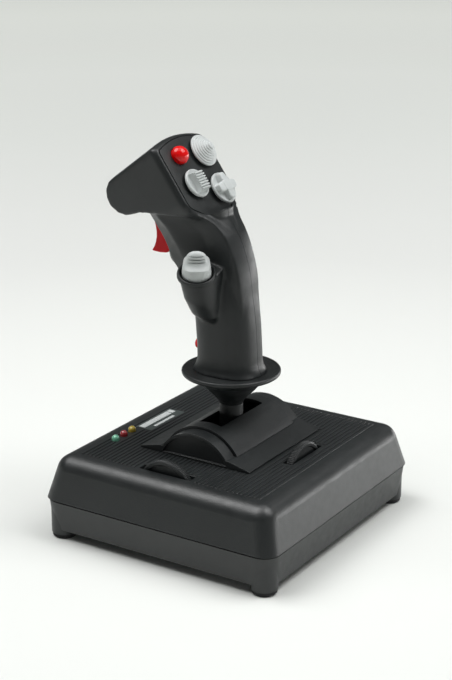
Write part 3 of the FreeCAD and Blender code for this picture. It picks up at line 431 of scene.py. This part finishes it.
area_light("overhead", (-0.45, 0.75, 1.75), (1.3, 1.0), 27)
area_light("top", (0.25, -0.2, 2.2), (1.8, 1.8), 15)
area_light("fill", (0.45, -0.85, 1.6), (1.1, 1.1), 19)
area_light("right_card", (1.05, -0.75, 0.05), (1.7, 0.1), 6.5)
world = bpy.data.worlds.new("studio")
world.use_nodes = True
world.node_tree.nodes["Background"].inputs["Color"].default_value = (0.93, 0.96, 0.95, 1)
world.node_tree.nodes["Background"].inputs["Strength"].default_value = 0.14
scene.world = world

floor = make_object("floor", [(-FLOOR_HALF, -FLOOR_HALF, 0), (FLOOR_HALF, -FLOOR_HALF, 0),
                              (FLOOR_HALF, FLOOR_HALF, 0), (-FLOOR_HALF, FLOOR_HALF, 0)], [(0, 1, 2, 3)])
floor_material, floor_tree, floor_shader = new_material("studio_paper")
nearness = add(floor_tree, "ShaderNodeTexGradient", {"Vector": place_of(floor_tree, (0.4, 0.4, 0.4))},
               gradient_type="SPHERICAL").outputs["Fac"]
# Base colour lighter towards the middle of the floor: a painted pool of light.
floor_tree.links.new(ramp(floor_tree, nearness, PAPER_TONE_AND_PAINTED_LIGHT), floor_shader.inputs["Base Color"])
# Emission on the far paper: a painted glow, not a lamp.
floor_tree.links.new(ramp(floor_tree, nearness, PAPER_PAINTED_GLOW), floor_shader.inputs["Emission Color"])
floor_shader.inputs["Emission Strength"].default_value = 1.0
floor_shader.inputs["Roughness"].default_value = 0.9
floor.data.materials.append(floor_material)
floor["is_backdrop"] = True

# ---------------------------------------------------------------- the grip

STICK_X = 0.8
SHAFT_LINE = Matrix.Translation((STICK_X * MM, 0, 0))
GRIP_FLOOR = 100.6
OVAL = 2.6


def curve_through(rows, count):
    """Rows of numbers resampled along a smooth curve by their first column."""
    table = np.array(rows, float)
    t, values = table[:, 0], table[:, 1:]
    slope = np.gradient(values, t, axis=0)
    result = []
    for x in np.linspace(t[0], t[-1], count):
        i = min(max(int(np.searchsorted(t, x)) - 1, 0), len(t) - 2)
        h = t[i + 1] - t[i]
        s = (x - t[i]) / h
        value = ((2 * s ** 3 - 3 * s ** 2 + 1) * values[i] + (s ** 3 - 2 * s ** 2 + s) * h * slope[i]
                 + (3 * s ** 2 - 2 * s ** 3) * values[i + 1] + (s ** 3 - s ** 2) * h * slope[i + 1])
        result.append([x, *value])
    return result


def squircle(half_x, half_y, z, power, count=72):
    """A level ring between an ellipse and a rectangle."""
    ring = []
    for i in range(count):
        turn = 2 * math.pi * i / count
        across, along = math.cos(turn), math.sin(turn)
        ring.append((half_x * math.copysign(abs(across) ** (2 / power), across),
                     half_y * math.copysign(abs(along) ** (2 / power), along), z))
    return ring


def oval(z, middle_y, half_x, half_y):
    """A level section of the grip."""
    return [(STICK_X + x, middle_y + y, z) for x, y, z in squircle(half_x, half_y, z, OVAL)]


# The handle: height, middle, and what it adds to the half width and the half depth.
HALF_X, HALF_Y = 16, 20.4
HANDLE = [(GRIP_FLOOR, 1.0, 3.0, 3.4), (103.1, 1.0, 1.4, 1.6), (106.6, 1.0, 0.3, 0.4), (113, 1.1, 0, 0),
          (124, 1.7, 0, 0), (136, 2.6, 0, 0), (148, 4.0, -0.5, -0.3), (160, 6.0, -2, -0.8),
          (172, 8.6, -4.2, -1), (182, 11.4, -4.8, -1), (190, 15.0, -4.4, -1), (197, 19.4, -3, -1),
          (204, 25.0, 0, -1)]
# The guard beside the trigger: height, front and half width.
GUARD = [(165, 37, 12.2), (168, 41.6, 12.4), (172, 43.2, 12.6), (179, 43.6, 12.4), (186, 46.5, 12.8),
         (192, 50.5, 13.6), (198, 55, 15), (205, 60, 17.5)]
GUARD_BACK = 2
# The neck below the panel: at each height its rear corner, the hollow beside it, the guard's ridge and its
# front, each as (half width, y).
NECK = [(128, (9.6, -14.8), (13, 0), (13, 12), (9, 20)),
        (140, (10.4, -14.6), (14, 0), (14, 14), (9, 22)),
        (152, (11, -13.4), (14, 0), (14, 18), (10, 26)),
        (162, (11.5, -12.4), (13, 2), (14, 22), (10, 32)),
        (172, (11.8, -10.2), (12, 4), (15.2, 24), (11, 38)),
        (178, (12, -8.2), (11.6, 7), (16.4, 26.5), (11, 40.5)),
        (184, (12.2, -5.9), (12, 10), (17.4, 30), (11.5, 43.5)),
        (190, (12.8, -2.8), (13, 14), (18.8, 33), (12, 47.5)),
        (196, (14.4, 1.8), (16.2, 18), (20.8, 38), (13, 51)),
        (201, (17.8, 6.4), (20.6, 22), (22.4, 42), (14, 54)),
        (206, (26.6, 13.4), (25.4, 26), (23.6, 46), (16, 57))]
# The neck's back bulges between its corners; the bulge fades out between two heights.
NECK_BULGE, BULGE_FADES, BULGE_ENDS = 2.0, 190, 202

PANEL_TILT = math.radians(54.7)
PANEL = Matrix.Translation(Vector((STICK_X, 35.9, 240.5)) * MM) @ Matrix.Rotation(PANEL_TILT, 4, "X")
PANEL_HALF, PANEL_SIDE, PANEL_LONG, PANEL_FOOT, PANEL_CROWN, PANEL_CORNER = 24.8, 38.9, 47.6, 12, 4.6, 3.4


def panel_outline(grow):
    """The panel's outline, arched above and narrow below, with rounded corners."""
    half, long, foot = PANEL_HALF + grow, PANEL_LONG + grow, PANEL_FOOT + 0.5 * grow
    side = PANEL_SIDE + 0.35 * grow
    arch = [(half * t, grow + PANEL_CROWN * (1 - t ** 2)) for t in (1 - i / 8 for i in range(1, 16))]
    corners = [(half, grow)] + arch
    corners += [(-half, grow), (-half, -side), (-foot, -long), (foot, -long), (half, -side)]
    points = [Vector(point) for point in corners]
    result = []
    for i, point in enumerate(points):
        if 1 <= i <= len(arch):
            result.append(tuple(point))
            continue
        before, after = points[i - 1], points[(i + 1) % len(points)]
        if i == 0:
            after = points[2]
        back, ahead = before - point, after - point
        reach_back = min(PANEL_CORNER + grow, 0.45 * back.length)
        reach_ahead = min(PANEL_CORNER + grow, 0.9 * ahead.length)
        start = point + back.normalized() * reach_back
        end = point + ahead.normalized() * reach_ahead
        for step in range(7):
            t = step / 6
            result.append(tuple((1 - t) ** 2 * start + 2 * t * (1 - t) * point + t ** 2 * end))
    return result


def panel_prism(name, grow, low, high):
    return prism(name, panel_outline(grow), low, high, PANEL)


def neck_ring(z, numbers):
    """A level section with two rear corners and hollow sides, from half widths and Y by turns."""
    half_widths, places = numbers[0::2], numbers[1::2]
    samples = np.linspace(places[0], places[-1], 16)
    widths = np.interp(samples, places, half_widths)
    left = [(STICK_X - w, y, z) for w, y in zip(widths, samples)]
    right = [(STICK_X + w, y, z) for w, y in zip(widths, samples)]
    bulge = NECK_BULGE * min(1, max(0, (BULGE_ENDS - z) / (BULGE_ENDS - BULGE_FADES)))
    rear = [(STICK_X + t * widths[0], samples[0] - bulge * (1 - t * t), z)
            for t in np.linspace(1, -1, 13)[1:-1]]
    return left + right[::-1] + rear


# The head behind the panel: rim around the panel, narrowing towards the front, drop at the rim's edge, reach.
HEAD_RIM, HEAD_SHRINK, HEAD_SINK, HEAD_LONG = 3.2, 0.72, 0.3, 58
LIP_WIDTH, LIP_DROP = 1.8, 3
NOSE = [(-20, 255), (70, 255), (78.4, 213.4), (80, 209.4), (79.4, 204.6), (76.6, 199.8), (71, 196.6),
        (64.5, 195.8), (59, 197.4), (53, 199.6), (40, 201), (20, 202), (8, 198), (-20, 190)]
VOXEL, BLEND_PASSES = 0.8, 11


def grip_head():
    near = panel_outline(HEAD_RIM)
    lip_ring = [(x, y, -HEAD_SINK) for x, y in panel_outline(HEAD_RIM - LIP_WIDTH)]
    near_ring = [(x, y, -HEAD_SINK - LIP_DROP) for x, y in near]
    far_ring = [(x * HEAD_SHRINK, HEAD_RIM + (y - HEAD_RIM) * HEAD_SHRINK, -HEAD_LONG) for x, y in near]
    head = loft("head", [lip_ring, near_ring, far_ring], PANEL)
    return combine(head, [side_plate("side", NOSE, 40, STICK_X)], "INTERSECT")


def grip_outer():
    """The grip's outside: its rough solids merged and blended into one skin."""
    handle_rings = [oval(z, y, HALF_X + more_x, HALF_Y + more_y)
                    for z, y, more_x, more_y in curve_through(HANDLE, 60)]
    guard_rings = [oval(z, (y + GUARD_BACK) / 2, half_x, (y - GUARD_BACK) / 2)
                   for z, y, half_x in curve_through(GUARD, 24)]
    head = grip_head()
    boss = loft("boss", BOSS_RINGS)
    neck_rows = [(z, *(number for point in points for number in point)) for z, *points in NECK]
    neck_rings = [neck_ring(z, numbers) for z, *numbers in curve_through(neck_rows, 30)]
    whole = join("grip_shells", [loft("handle", handle_rings), loft("guard", guard_rings),
                                 loft("neck", neck_rings), head, boss])
    remesh = whole.modifiers.new("merge", "REMESH")
    remesh.mode = "VOXEL"
    remesh.voxel_size = VOXEL * MM
    relax = whole.modifiers.new("blend", "SMOOTH")
    relax.factor = 0.5
    relax.iterations = BLEND_PASSES
    return settle(whole)


BOSS_AXIS = Vector((-0.343, -0.219, 0.9135)).normalized()
BOSS_MOUTH = Vector((-25, 8.6, 168.5))
BOSS_TURN = Vector((0, 0, 1)).rotation_difference(BOSS_AXIS).to_matrix().to_4x4()


def boss_ring(middle, half_x, half_y):
    """A section of the thumb hat's boss, square to its axis."""
    return [Vector(middle) + BOSS_TURN @ Vector(point) for point in squircle(half_x, half_y, 0, OVAL)]


BOSS_RINGS = [boss_ring((-8.5, 8, 137), 6.5, 7.5), boss_ring((-13.2, 8.2, 143), 9.9, 9.8),
              boss_ring((-17.3, 8.6, 155), 13, 10.6), boss_ring(BOSS_MOUTH + Vector((5.5, 0, 1.2)), 16, 11.2)]
MOUTH = Matrix.Translation(BOSS_MOUTH * MM) @ BOSS_TURN
ACROSS = Matrix.Rotation(math.radians(90), 4, "Y")
FORWARD = Matrix.Rotation(math.radians(-90), 4, "X")


def across_at(y, z):
    return Matrix.Translation(Vector((STICK_X, y, z)) * MM) @ ACROSS


def forward_at(y, z):
    return Matrix.Translation(Vector((STICK_X, y, z)) * MM) @ FORWARD


# The grip screws, seen from the side, and a thin web just inside the outline that closes the seam.
SCREWS = [(1.6, 123), (5, 151), (66, 207)]
SEAM_HALF, WEB_HALF = 0.12, 0.2
WEB = [(20, 103), (20.1, 113), (20.7, 124), (21.4, 136), (22.6, 148), (24, 160), (25, 166.2), (37, 166.4),
       (40.8, 169.4), (42.2, 172.5), (42.6, 180), (46, 186.5), (51, 192.5), (55.5, 200.6), (61, 199.4),
       (64.7, 197.8), (70.6, 198.6), (75.2, 201.4), (77.5, 205.4), (78, 209.3), (76.4, 213.2), (73.5, 219.2),
       (41.2, 242.2), (8.2, 197.6), (4, 196), (-2.2, 190), (-6.4, 182), (-9.6, 172), (-12.4, 160),
       (-14.6, 148), (-16.2, 136), (-17.2, 124), (-17.8, 113), (-18, 103)]
grip = grip_outer()
seam = box("seam", (STICK_X - SEAM_HALF, -60, 90), (STICK_X + SEAM_HALF, 100, 260))
combine(grip, [seam], "DIFFERENCE")
combine(grip, [side_plate("web", WEB, WEB_HALF, STICK_X)], "UNION")
cutters = [panel_prism("seat", 0.5, -2.0, 14), panel_prism("pocket", -4.4, -16, 12),
           box("trigger_room", (STICK_X - 5.9, 36, 168.6), (STICK_X + 5.9, 62, 192.6)),
           box("switch_room", (STICK_X - 4.6, 24, 169), (STICK_X + 4.6, 37, 185)),
           cylinder("pinky_way", 3.7, 15, 30, forward_at(0, 114)),
           box("pinky_room", (STICK_X - 4.8, 7.6, 109), (STICK_X + 4.8, 17.4, 119)),
           cylinder("mouth", 9.9, -3.6, 16, MOUTH), cylinder("well", 5.3, -12, 1, MOUTH),
           cylinder("shaft_way", 6.25, 98, 117, SHAFT_LINE)]
for y, z in SCREWS:
    cutters.append(cylinder("screw_seat", 3.2, 13, 40, across_at(y, z)))
combine(grip, cutters, "DIFFERENCE")
smooth(grip, 35)
finish_piece(grip, "stick", "grip_plastic", ("grip_left_shell", "grip_right_shell"))
rim_section = [(10.3, -1.5), (10.3, 0.8), (10.6, 1.3), (11.2, 1.4), (11.8, 1.0), (12.1, 0), (12.1, -1.5)]
collar = lathe("thumb_mouth_rim", rim_section, MOUTH, radius=0.4, axis_end=False)
finish_piece(collar, "stick", "grip_plastic")

# ---------------------------------------------------------------- hats and buttons


def frame_of(u, v, origin):
    """A placement whose X and Y lie along two axes."""
    x, y = Vector(u).normalized(), Vector(v).normalized()
    turned = Matrix((x, y, x.cross(y))).transposed().to_4x4()
    return Matrix.Translation(origin) @ turned


def hat_place(short, pivot_depth):
    """A hat's own frame, with its foot a given depth above the pivot."""
    up, side = JOINTS[f"{short}_tilt_up"], JOINTS[f"{short}_tilt_side"]
    flat = frame_of(up["axis"], side["axis"], Vector(up["pos_m"]))
    return flat @ Matrix.Translation((0, 0, pivot_depth * MM))


PANEL_DEPTH, THUMB_DEPTH = 5, 6
STEM_RADIUS, STEM_LOW, STEM_HIGH = 2.2, -8, 1.3


def stem():
    return [(0, STEM_LOW), (STEM_RADIUS, STEM_LOW), (STEM_RADIUS, STEM_HIGH)]


place = hat_place("pov", PANEL_DEPTH)
steps = []
for i in range(7):
    edge, rise = 9.6 - 1.22 * i, 3.2 + 0.9 * i
    steps += [(edge, rise), (edge - 0.05, rise + 0.62), (edge - 0.55, rise + 0.9)]
pov = lathe("pov_hat_cap", stem() + [(9.6, 1.2), (10.6, 1.9), (10.6, 2.8), (10.1, 3.2)] + steps
            + [(1.0, 9.5), (0, 9.3)], place, radius=0.28)
finish_piece(pov, "pov_cap", "hat_plastic", ("pov_hat",))


def dished(name, rim, place):
    """The round skirt under a shaped hat."""
    skirt = [(rim - 0.7, 1.3), (rim, 2.0), (rim, 3.1), (rim - 0.5, 3.7), (rim - 1.1, 3.6), (rim - 2.0, 3.3),
             (0, 3.3)]
    return lathe(name, stem() + skirt, place, radius=0.35)


HOLLOW = 0.9


def castle_ring(half_x, half_y, z):
    """A block's outline whose long sides are hollow."""
    along = np.linspace(-1, 1, 24)
    left = [(-half_x + HOLLOW * (1 - t * t), half_y * t, z) for t in along]
    right = [(half_x - HOLLOW * (1 - t * t), half_y * t, z) for t in along[::-1]]
    return left + right


place = hat_place("castle", PANEL_DEPTH)
castle = dished("castle_hat_cap", 9.4, place)
tower = loft("tower", [castle_ring(5.6 - inset, 7.0 - inset, z) for z, inset in
                       ((3.0, 0), (3.8, 0.5), (5.0, 0.8), (6.4, 0.9), (6.8, 1.0))], place)
ridges = []
for i in range(-3, 4):
    y = 1.74 * i
    half = 4.4 if abs(i) < 3 else 4.0
    outline = [(y - 0.6, 6.5), (y + 0.6, 6.5), (y + 0.5, 7.5), (y + 0.25, 7.9), (y - 0.25, 7.9),
               (y - 0.5, 7.5)]
    ridges.append(side_plate("ridge", outline, half, matrix=place))
combine(castle, [tower] + ridges, "UNION")
smooth(castle, 32)
finish_piece(castle, "castle_cap", "hat_plastic", ("castle_hat",))

place = hat_place("cross", PANEL_DEPTH)
cross = dished("cross_hat_cap", 10.2, place)
arms = []
for long, wide, top in ((9.0, 3.1, 7.0), (3.1, 9.0, 7.0), (4.0, 4.0, 7.4)):
    arms.append(loft("arm", [squircle(long + 0.3, wide + 0.3, 3.0, 5), squircle(long, wide, 4.0, 5),
                             squircle(long - 0.15, wide - 0.15, top - 0.7, 5),
                             squircle(long - 0.45, wide - 0.45, top - 0.2, 4.5),
                             squircle(long - 1.0, wide - 1.0, top, 4)], place))
combine(cross, arms, "UNION")
smooth(cross, 38)
finish_piece(cross, "cross_cap", "hat_plastic", ("cross_hat",))

place = hat_place("thumb", THUMB_DEPTH)
lean = place.to_3x3().inverted() @ Vector((0, 0, 1))
along_lean = Vector((lean.y, -lean.x, 0)).normalized()
thumb_place = place @ Matrix.Rotation(math.atan2(along_lean.y, along_lean.x), 4, "Z")
# The thumb hat's levels: height, half width, half depth and squareness.
LEVELS = [(-1.2, 7.4, 7.4, 2), (-0.5, 8.6, 8.6, 2), (0.0, 9.0, 9.0, 2), (1.0, 9.0, 9.0, 2.1),
          (3.6, 8.8, 8.8, 2.5), (6.4, 8.3, 8.4, 3.0), (7.8, 8.1, 8.2, 3.4), (8.3, 7.8, 8.0, 3.4),
          (8.9, 7.4, 6.8, 3.2), (9.6, 7.1, 5.1, 3.0), (10.4, 6.9, 4.3, 2.8), (12, 6.5, 3.7, 2.6),
          (14, 5.8, 3.1, 2.5), (15.4, 4.8, 2.5, 2.4), (16.4, 3.5, 1.8, 2.2), (17.0, 1.9, 1.0, 2),
          (17.2, 0.3, 0.2, 2)]
thumb = loft("thumb_hat_cap", [squircle(a, b, z, power, 96) for z, a, b, power in LEVELS], thumb_place)
grooves = []
for z, reach in ((15.1, 1.6), (13.3, 2.3), (11.5, 2.9)):
    for side in (1, -1):
        inner, outer, low, high = side * reach, side * 9, z - 0.42, z + 0.42
        outline = [(inner, low), (outer, low), (outer, high), (inner, high)]
        grooves.append(side_plate("groove", outline, 9, matrix=thumb_place))
combine(thumb, grooves, "DIFFERENCE")
combine(thumb, [cylinder("thumb_stem", STEM_RADIUS, -9, 0, thumb_place)], "UNION")
smooth(thumb, 32)
finish_piece(thumb, "thumb_cap", "hat_plastic", ("thumb_hat",))

red_place = PANEL @ Matrix.Translation(Vector((-10.3, -6.6, 0)) * MM)
face = panel_prism("panel_face", 0, -2.0, 0)
bevel(face, 0.35, 3, 40)
ways = [cylinder("way", 6.0, -6, 6, hat_place(short, PANEL_DEPTH)) for short in ("pov", "castle", "cross")]
ways.append(cylinder("red_way", 5.75, -6, 6, red_place))
combine(face, ways, "DIFFERENCE")
smooth(face, 35)
finish_piece(face, "stick", "cover_plastic", ("button_panel",))

BALL, BALL_RISE = 5.95, 1.25
ball = [(BALL * math.cos(a), BALL_RISE + BALL * math.sin(a)) for a in np.linspace(0.09, math.pi / 2, 14)]
ball[-1] = (0, BALL_RISE + BALL)
red_foot = [(0, -4.8), (6.6, -4.8), (6.6, -3.4), (5.4, -3.4), (5.4, 1.5)]
red = lathe("red_button_cap", red_foot + ball, red_place, radius=0.25)
finish_piece(red, "red_key", "button_red", ("red_button",))

PINKY_RADIUS, PINKY_DOME, FLANGE_RADIUS, FLANGE_THICK = 3.4, 1.3, 4.4, 2.2
low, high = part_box("pinky_button")
pinky_place = frame_of((1, 0, 0), (0, 0, -1), Vector(((low.x + high.x) / 2, high.y, (low.z + high.z) / 2)))
pinky_foot = (low.y - high.y) / MM
dome = [(PINKY_RADIUS * math.sin(a), PINKY_DOME * math.cos(a) - PINKY_DOME)
        for a in np.linspace(math.pi / 2, 0, 10)]
dome[-1] = (0, 0)
flange = [(0, pinky_foot), (FLANGE_RADIUS, pinky_foot), (FLANGE_RADIUS, pinky_foot + FLANGE_THICK),
          (PINKY_RADIUS, pinky_foot + FLANGE_THICK)]
pinky = lathe("pinky_button_cap", flange + dome, pinky_place, radius=0.3)
finish_piece(pinky, "pinky_key", "button_red", ("pinky_button",))

# ---------------------------------------------------------------- trigger

TRIGGER_BACK, TRIGGER_HALF = 41.6, 5.5
TRIGGER_SIDE = [(43, 191), (48, 191.4), (54.2, 191.3), (53.2, 187.5), (52.6, 184), (52.6, 180.5),
                (53.2, 177.2), (54.5, 173.9), (56.5, 170.8), (50, 170.5), (44.6, 171.0), (41.8, 174),
                (TRIGGER_BACK, 179), (TRIGGER_BACK, 184)]
trigger = side_plate("trigger_lever_skin", TRIGGER_SIDE, TRIGGER_HALF, STICK_X)
bevel(trigger, 1.3, 5, 28)
# The seat in the trigger's back takes in the spring as the trigger is pulled.
seat_place = frame_of((1, 0, 0), (0, 0, 1), Vector((STICK_X, TRIGGER_BACK, 178.3)) * MM)
combine(trigger, [cylinder("spring_seat", 4.0, -3.6, 2, seat_place)], "DIFFERENCE")
finish_piece(trigger, "trigger_lever", "trigger_red", ("trigger",))

# ---------------------------------------------------------------- hand rest

rest_profile = [(6.05, 79), (7.6, 79), (7.9, 80.5), (10.4, 83.6), (16.2, 89.4), (19.4, 93.3), (28.4, 98.3),
                (29.6, 98.4), (31.0, 99.0), (31.4, 100.4), (31.0, 101.6), (29.9, 102.0), (28.8, 101.4),
                (24.9, 100.6), (6.05, 100.6)]
rest = lathe("hand_rest_skin", rest_profile, SHAFT_LINE, radius=0.8, count=160, axis_end=False)
finish_piece(rest, "stick", "cover_plastic", ("hand_rest",))

# ---------------------------------------------------------------- trim wheels


WHEEL_RADIUS, WHEEL_HALF, WHEEL_TEETH = 20.0, 2.5, 104
# Half of a wheel's section, from its face's middle to its rim: depth below the face, radius, tooth depth.
WHEEL_SECTION = [(0.7, 6, 0), (0.7, 16.6, 0), (0, 17.2, 0), (0, 18.9, 0), (0.5, 19.6, 0.1),
                 (0.9, WHEEL_RADIUS, 0.42)]


def toothed_ring(z, outer, tooth):
    ring = []
    for i in range(WHEEL_TEETH * 4):
        angle = 2 * math.pi * i / (WHEEL_TEETH * 4)
        r = outer - (tooth if i % 4 in (0, 3) else 0)
        ring.append((r * math.cos(angle), r * math.sin(angle), z))
    return ring


def trim_wheel(name, node, body, turn):
    """A wheel with a fine ridged rim and a shallow dished face."""
    low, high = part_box(node)
    place = Matrix.Translation((low + high) / 2) @ turn
    rings = [toothed_ring(-WHEEL_HALF + depth, radius, tooth) for depth, radius, tooth in WHEEL_SECTION]
    rings += [toothed_ring(WHEEL_HALF - depth, radius, tooth) for depth, radius, tooth in WHEEL_SECTION[::-1]]
    wheel = loft(name, rings, place)
    smooth(wheel, 30)
    finish_piece(wheel, body, "cover_plastic", (node,))


trim_wheel("left_wheel_rim", "left_trim_wheel", "left_wheel", ACROSS)
trim_wheel("rear_wheel_rim", "rear_trim_wheel", "rear_wheel", FORWARD)

# ---------------------------------------------------------------- ribs and bars on the base

TOP_Z = 54
RIB_X, RIB_Y, PITCH, RIB_RISE = 71, 64.5, 3.0, 0.5
RIB_FOOT, RIB_CREST, RIB_END, SHORTEST_RIB = 0.9, 0.55, 0.15, 3
WHEEL_SLOT_LONG, WHEEL_SLOT_SHORT = 20.4, 4.7
# The name plate's bars: place on the plate, length and width.
BARS = [(-2.5, 2.1, 31, 4.8), (15.6, 2.1, 3.6, 4.8), (-1, -3.9, 22, 2.2)]


def footprint(node, grow):
    """A node's footprint in millimetres, grown on each side, as x0, x1, y0, y1."""
    low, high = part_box(node)
    return low.x / MM - grow, high.x / MM + grow, low.y / MM - grow, high.y / MM + grow


def around_middle(node, half_x, half_y):
    low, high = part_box(node)
    x, y = (low.x + high.x) / 2 / MM, (low.y + high.y) / 2 / MM
    return x - half_x, x + half_x, y - half_y, y + half_y


def without(spans, start, end):
    """Spans with one stretch taken out, and no scraps."""
    pieces = [piece for a, b in spans for piece in ((a, min(b, start)), (max(a, end), b))]
    return [(a, b) for a, b in pieces if b - a > SHORTEST_RIB]


def plate_bars():
    low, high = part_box("name_plate")
    middle_x, middle_y, top = (low.x + high.x) / 2 / MM, (low.y + high.y) / 2 / MM, high.z / MM
    bars = []
    for x, y, long, wide in BARS:
        bar = box("bar", (middle_x + x - long / 2, middle_y + y - wide / 2, top - 0.1),
                  (middle_x + x + long / 2, middle_y + y + wide / 2, top + 0.18))
        bars.append(bevel(bar, 0.12, 2))
    return join("plate_bars", bars)


def rib(y, start, end):
    """One rib's corners, four at each of four stations, and its faces."""
    corners, faces = [], []
    for x, top in ((start, TOP_Z), (start + RIB_END, TOP_Z + RIB_RISE), (end - RIB_END, TOP_Z + RIB_RISE),
                   (end, TOP_Z)):
        corners += [(x, y - RIB_FOOT, TOP_Z - 0.05), (x, y - RIB_CREST, top), (x, y + RIB_CREST, top),
                    (x, y + RIB_FOOT, TOP_Z - 0.05)]
    for station in (0, 4, 8):
        faces += [(c, c + 1, c + 5, c + 4) for c in (station, station + 1, station + 2)]
        faces.append((station + 3, station, station + 4, station + 7))
    return corners, faces + [(0, 3, 2, 1), (12, 13, 14, 15)]


finish_piece(plate_bars(), "base", "hat_plastic")
keep_out = [footprint("gimbal_bezel", 0.6), footprint("name_plate", 0.9)]
keep_out += [footprint(name, 0.7) for name in ("lamp_green", "lamp_red", "lamp_yellow")]
keep_out += [around_middle("left_trim_wheel", WHEEL_SLOT_SHORT, WHEEL_SLOT_LONG),
             around_middle("rear_trim_wheel", WHEEL_SLOT_LONG, WHEEL_SLOT_SHORT)]
rib_corners, rib_faces = [], []
for y in np.arange(-RIB_Y, RIB_Y + PITCH / 2, PITCH):
    spans = [(-RIB_X, RIB_X)]
    for x0, x1, y0, y1 in keep_out:
        if y0 <= y <= y1:
            spans = without(spans, x0, x1)
    for start, end in spans:
        corners, faces = rib(y, start, end)
        rib_faces += [tuple(len(rib_corners) + corner for corner in face) for face in faces]
        rib_corners += corners
finish_piece(outward(make_object("base_top_ribs", rib_corners, rib_faces)), "base", "shell_plastic")

# ---------------------------------------------------------------- sizes and the end

low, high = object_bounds()
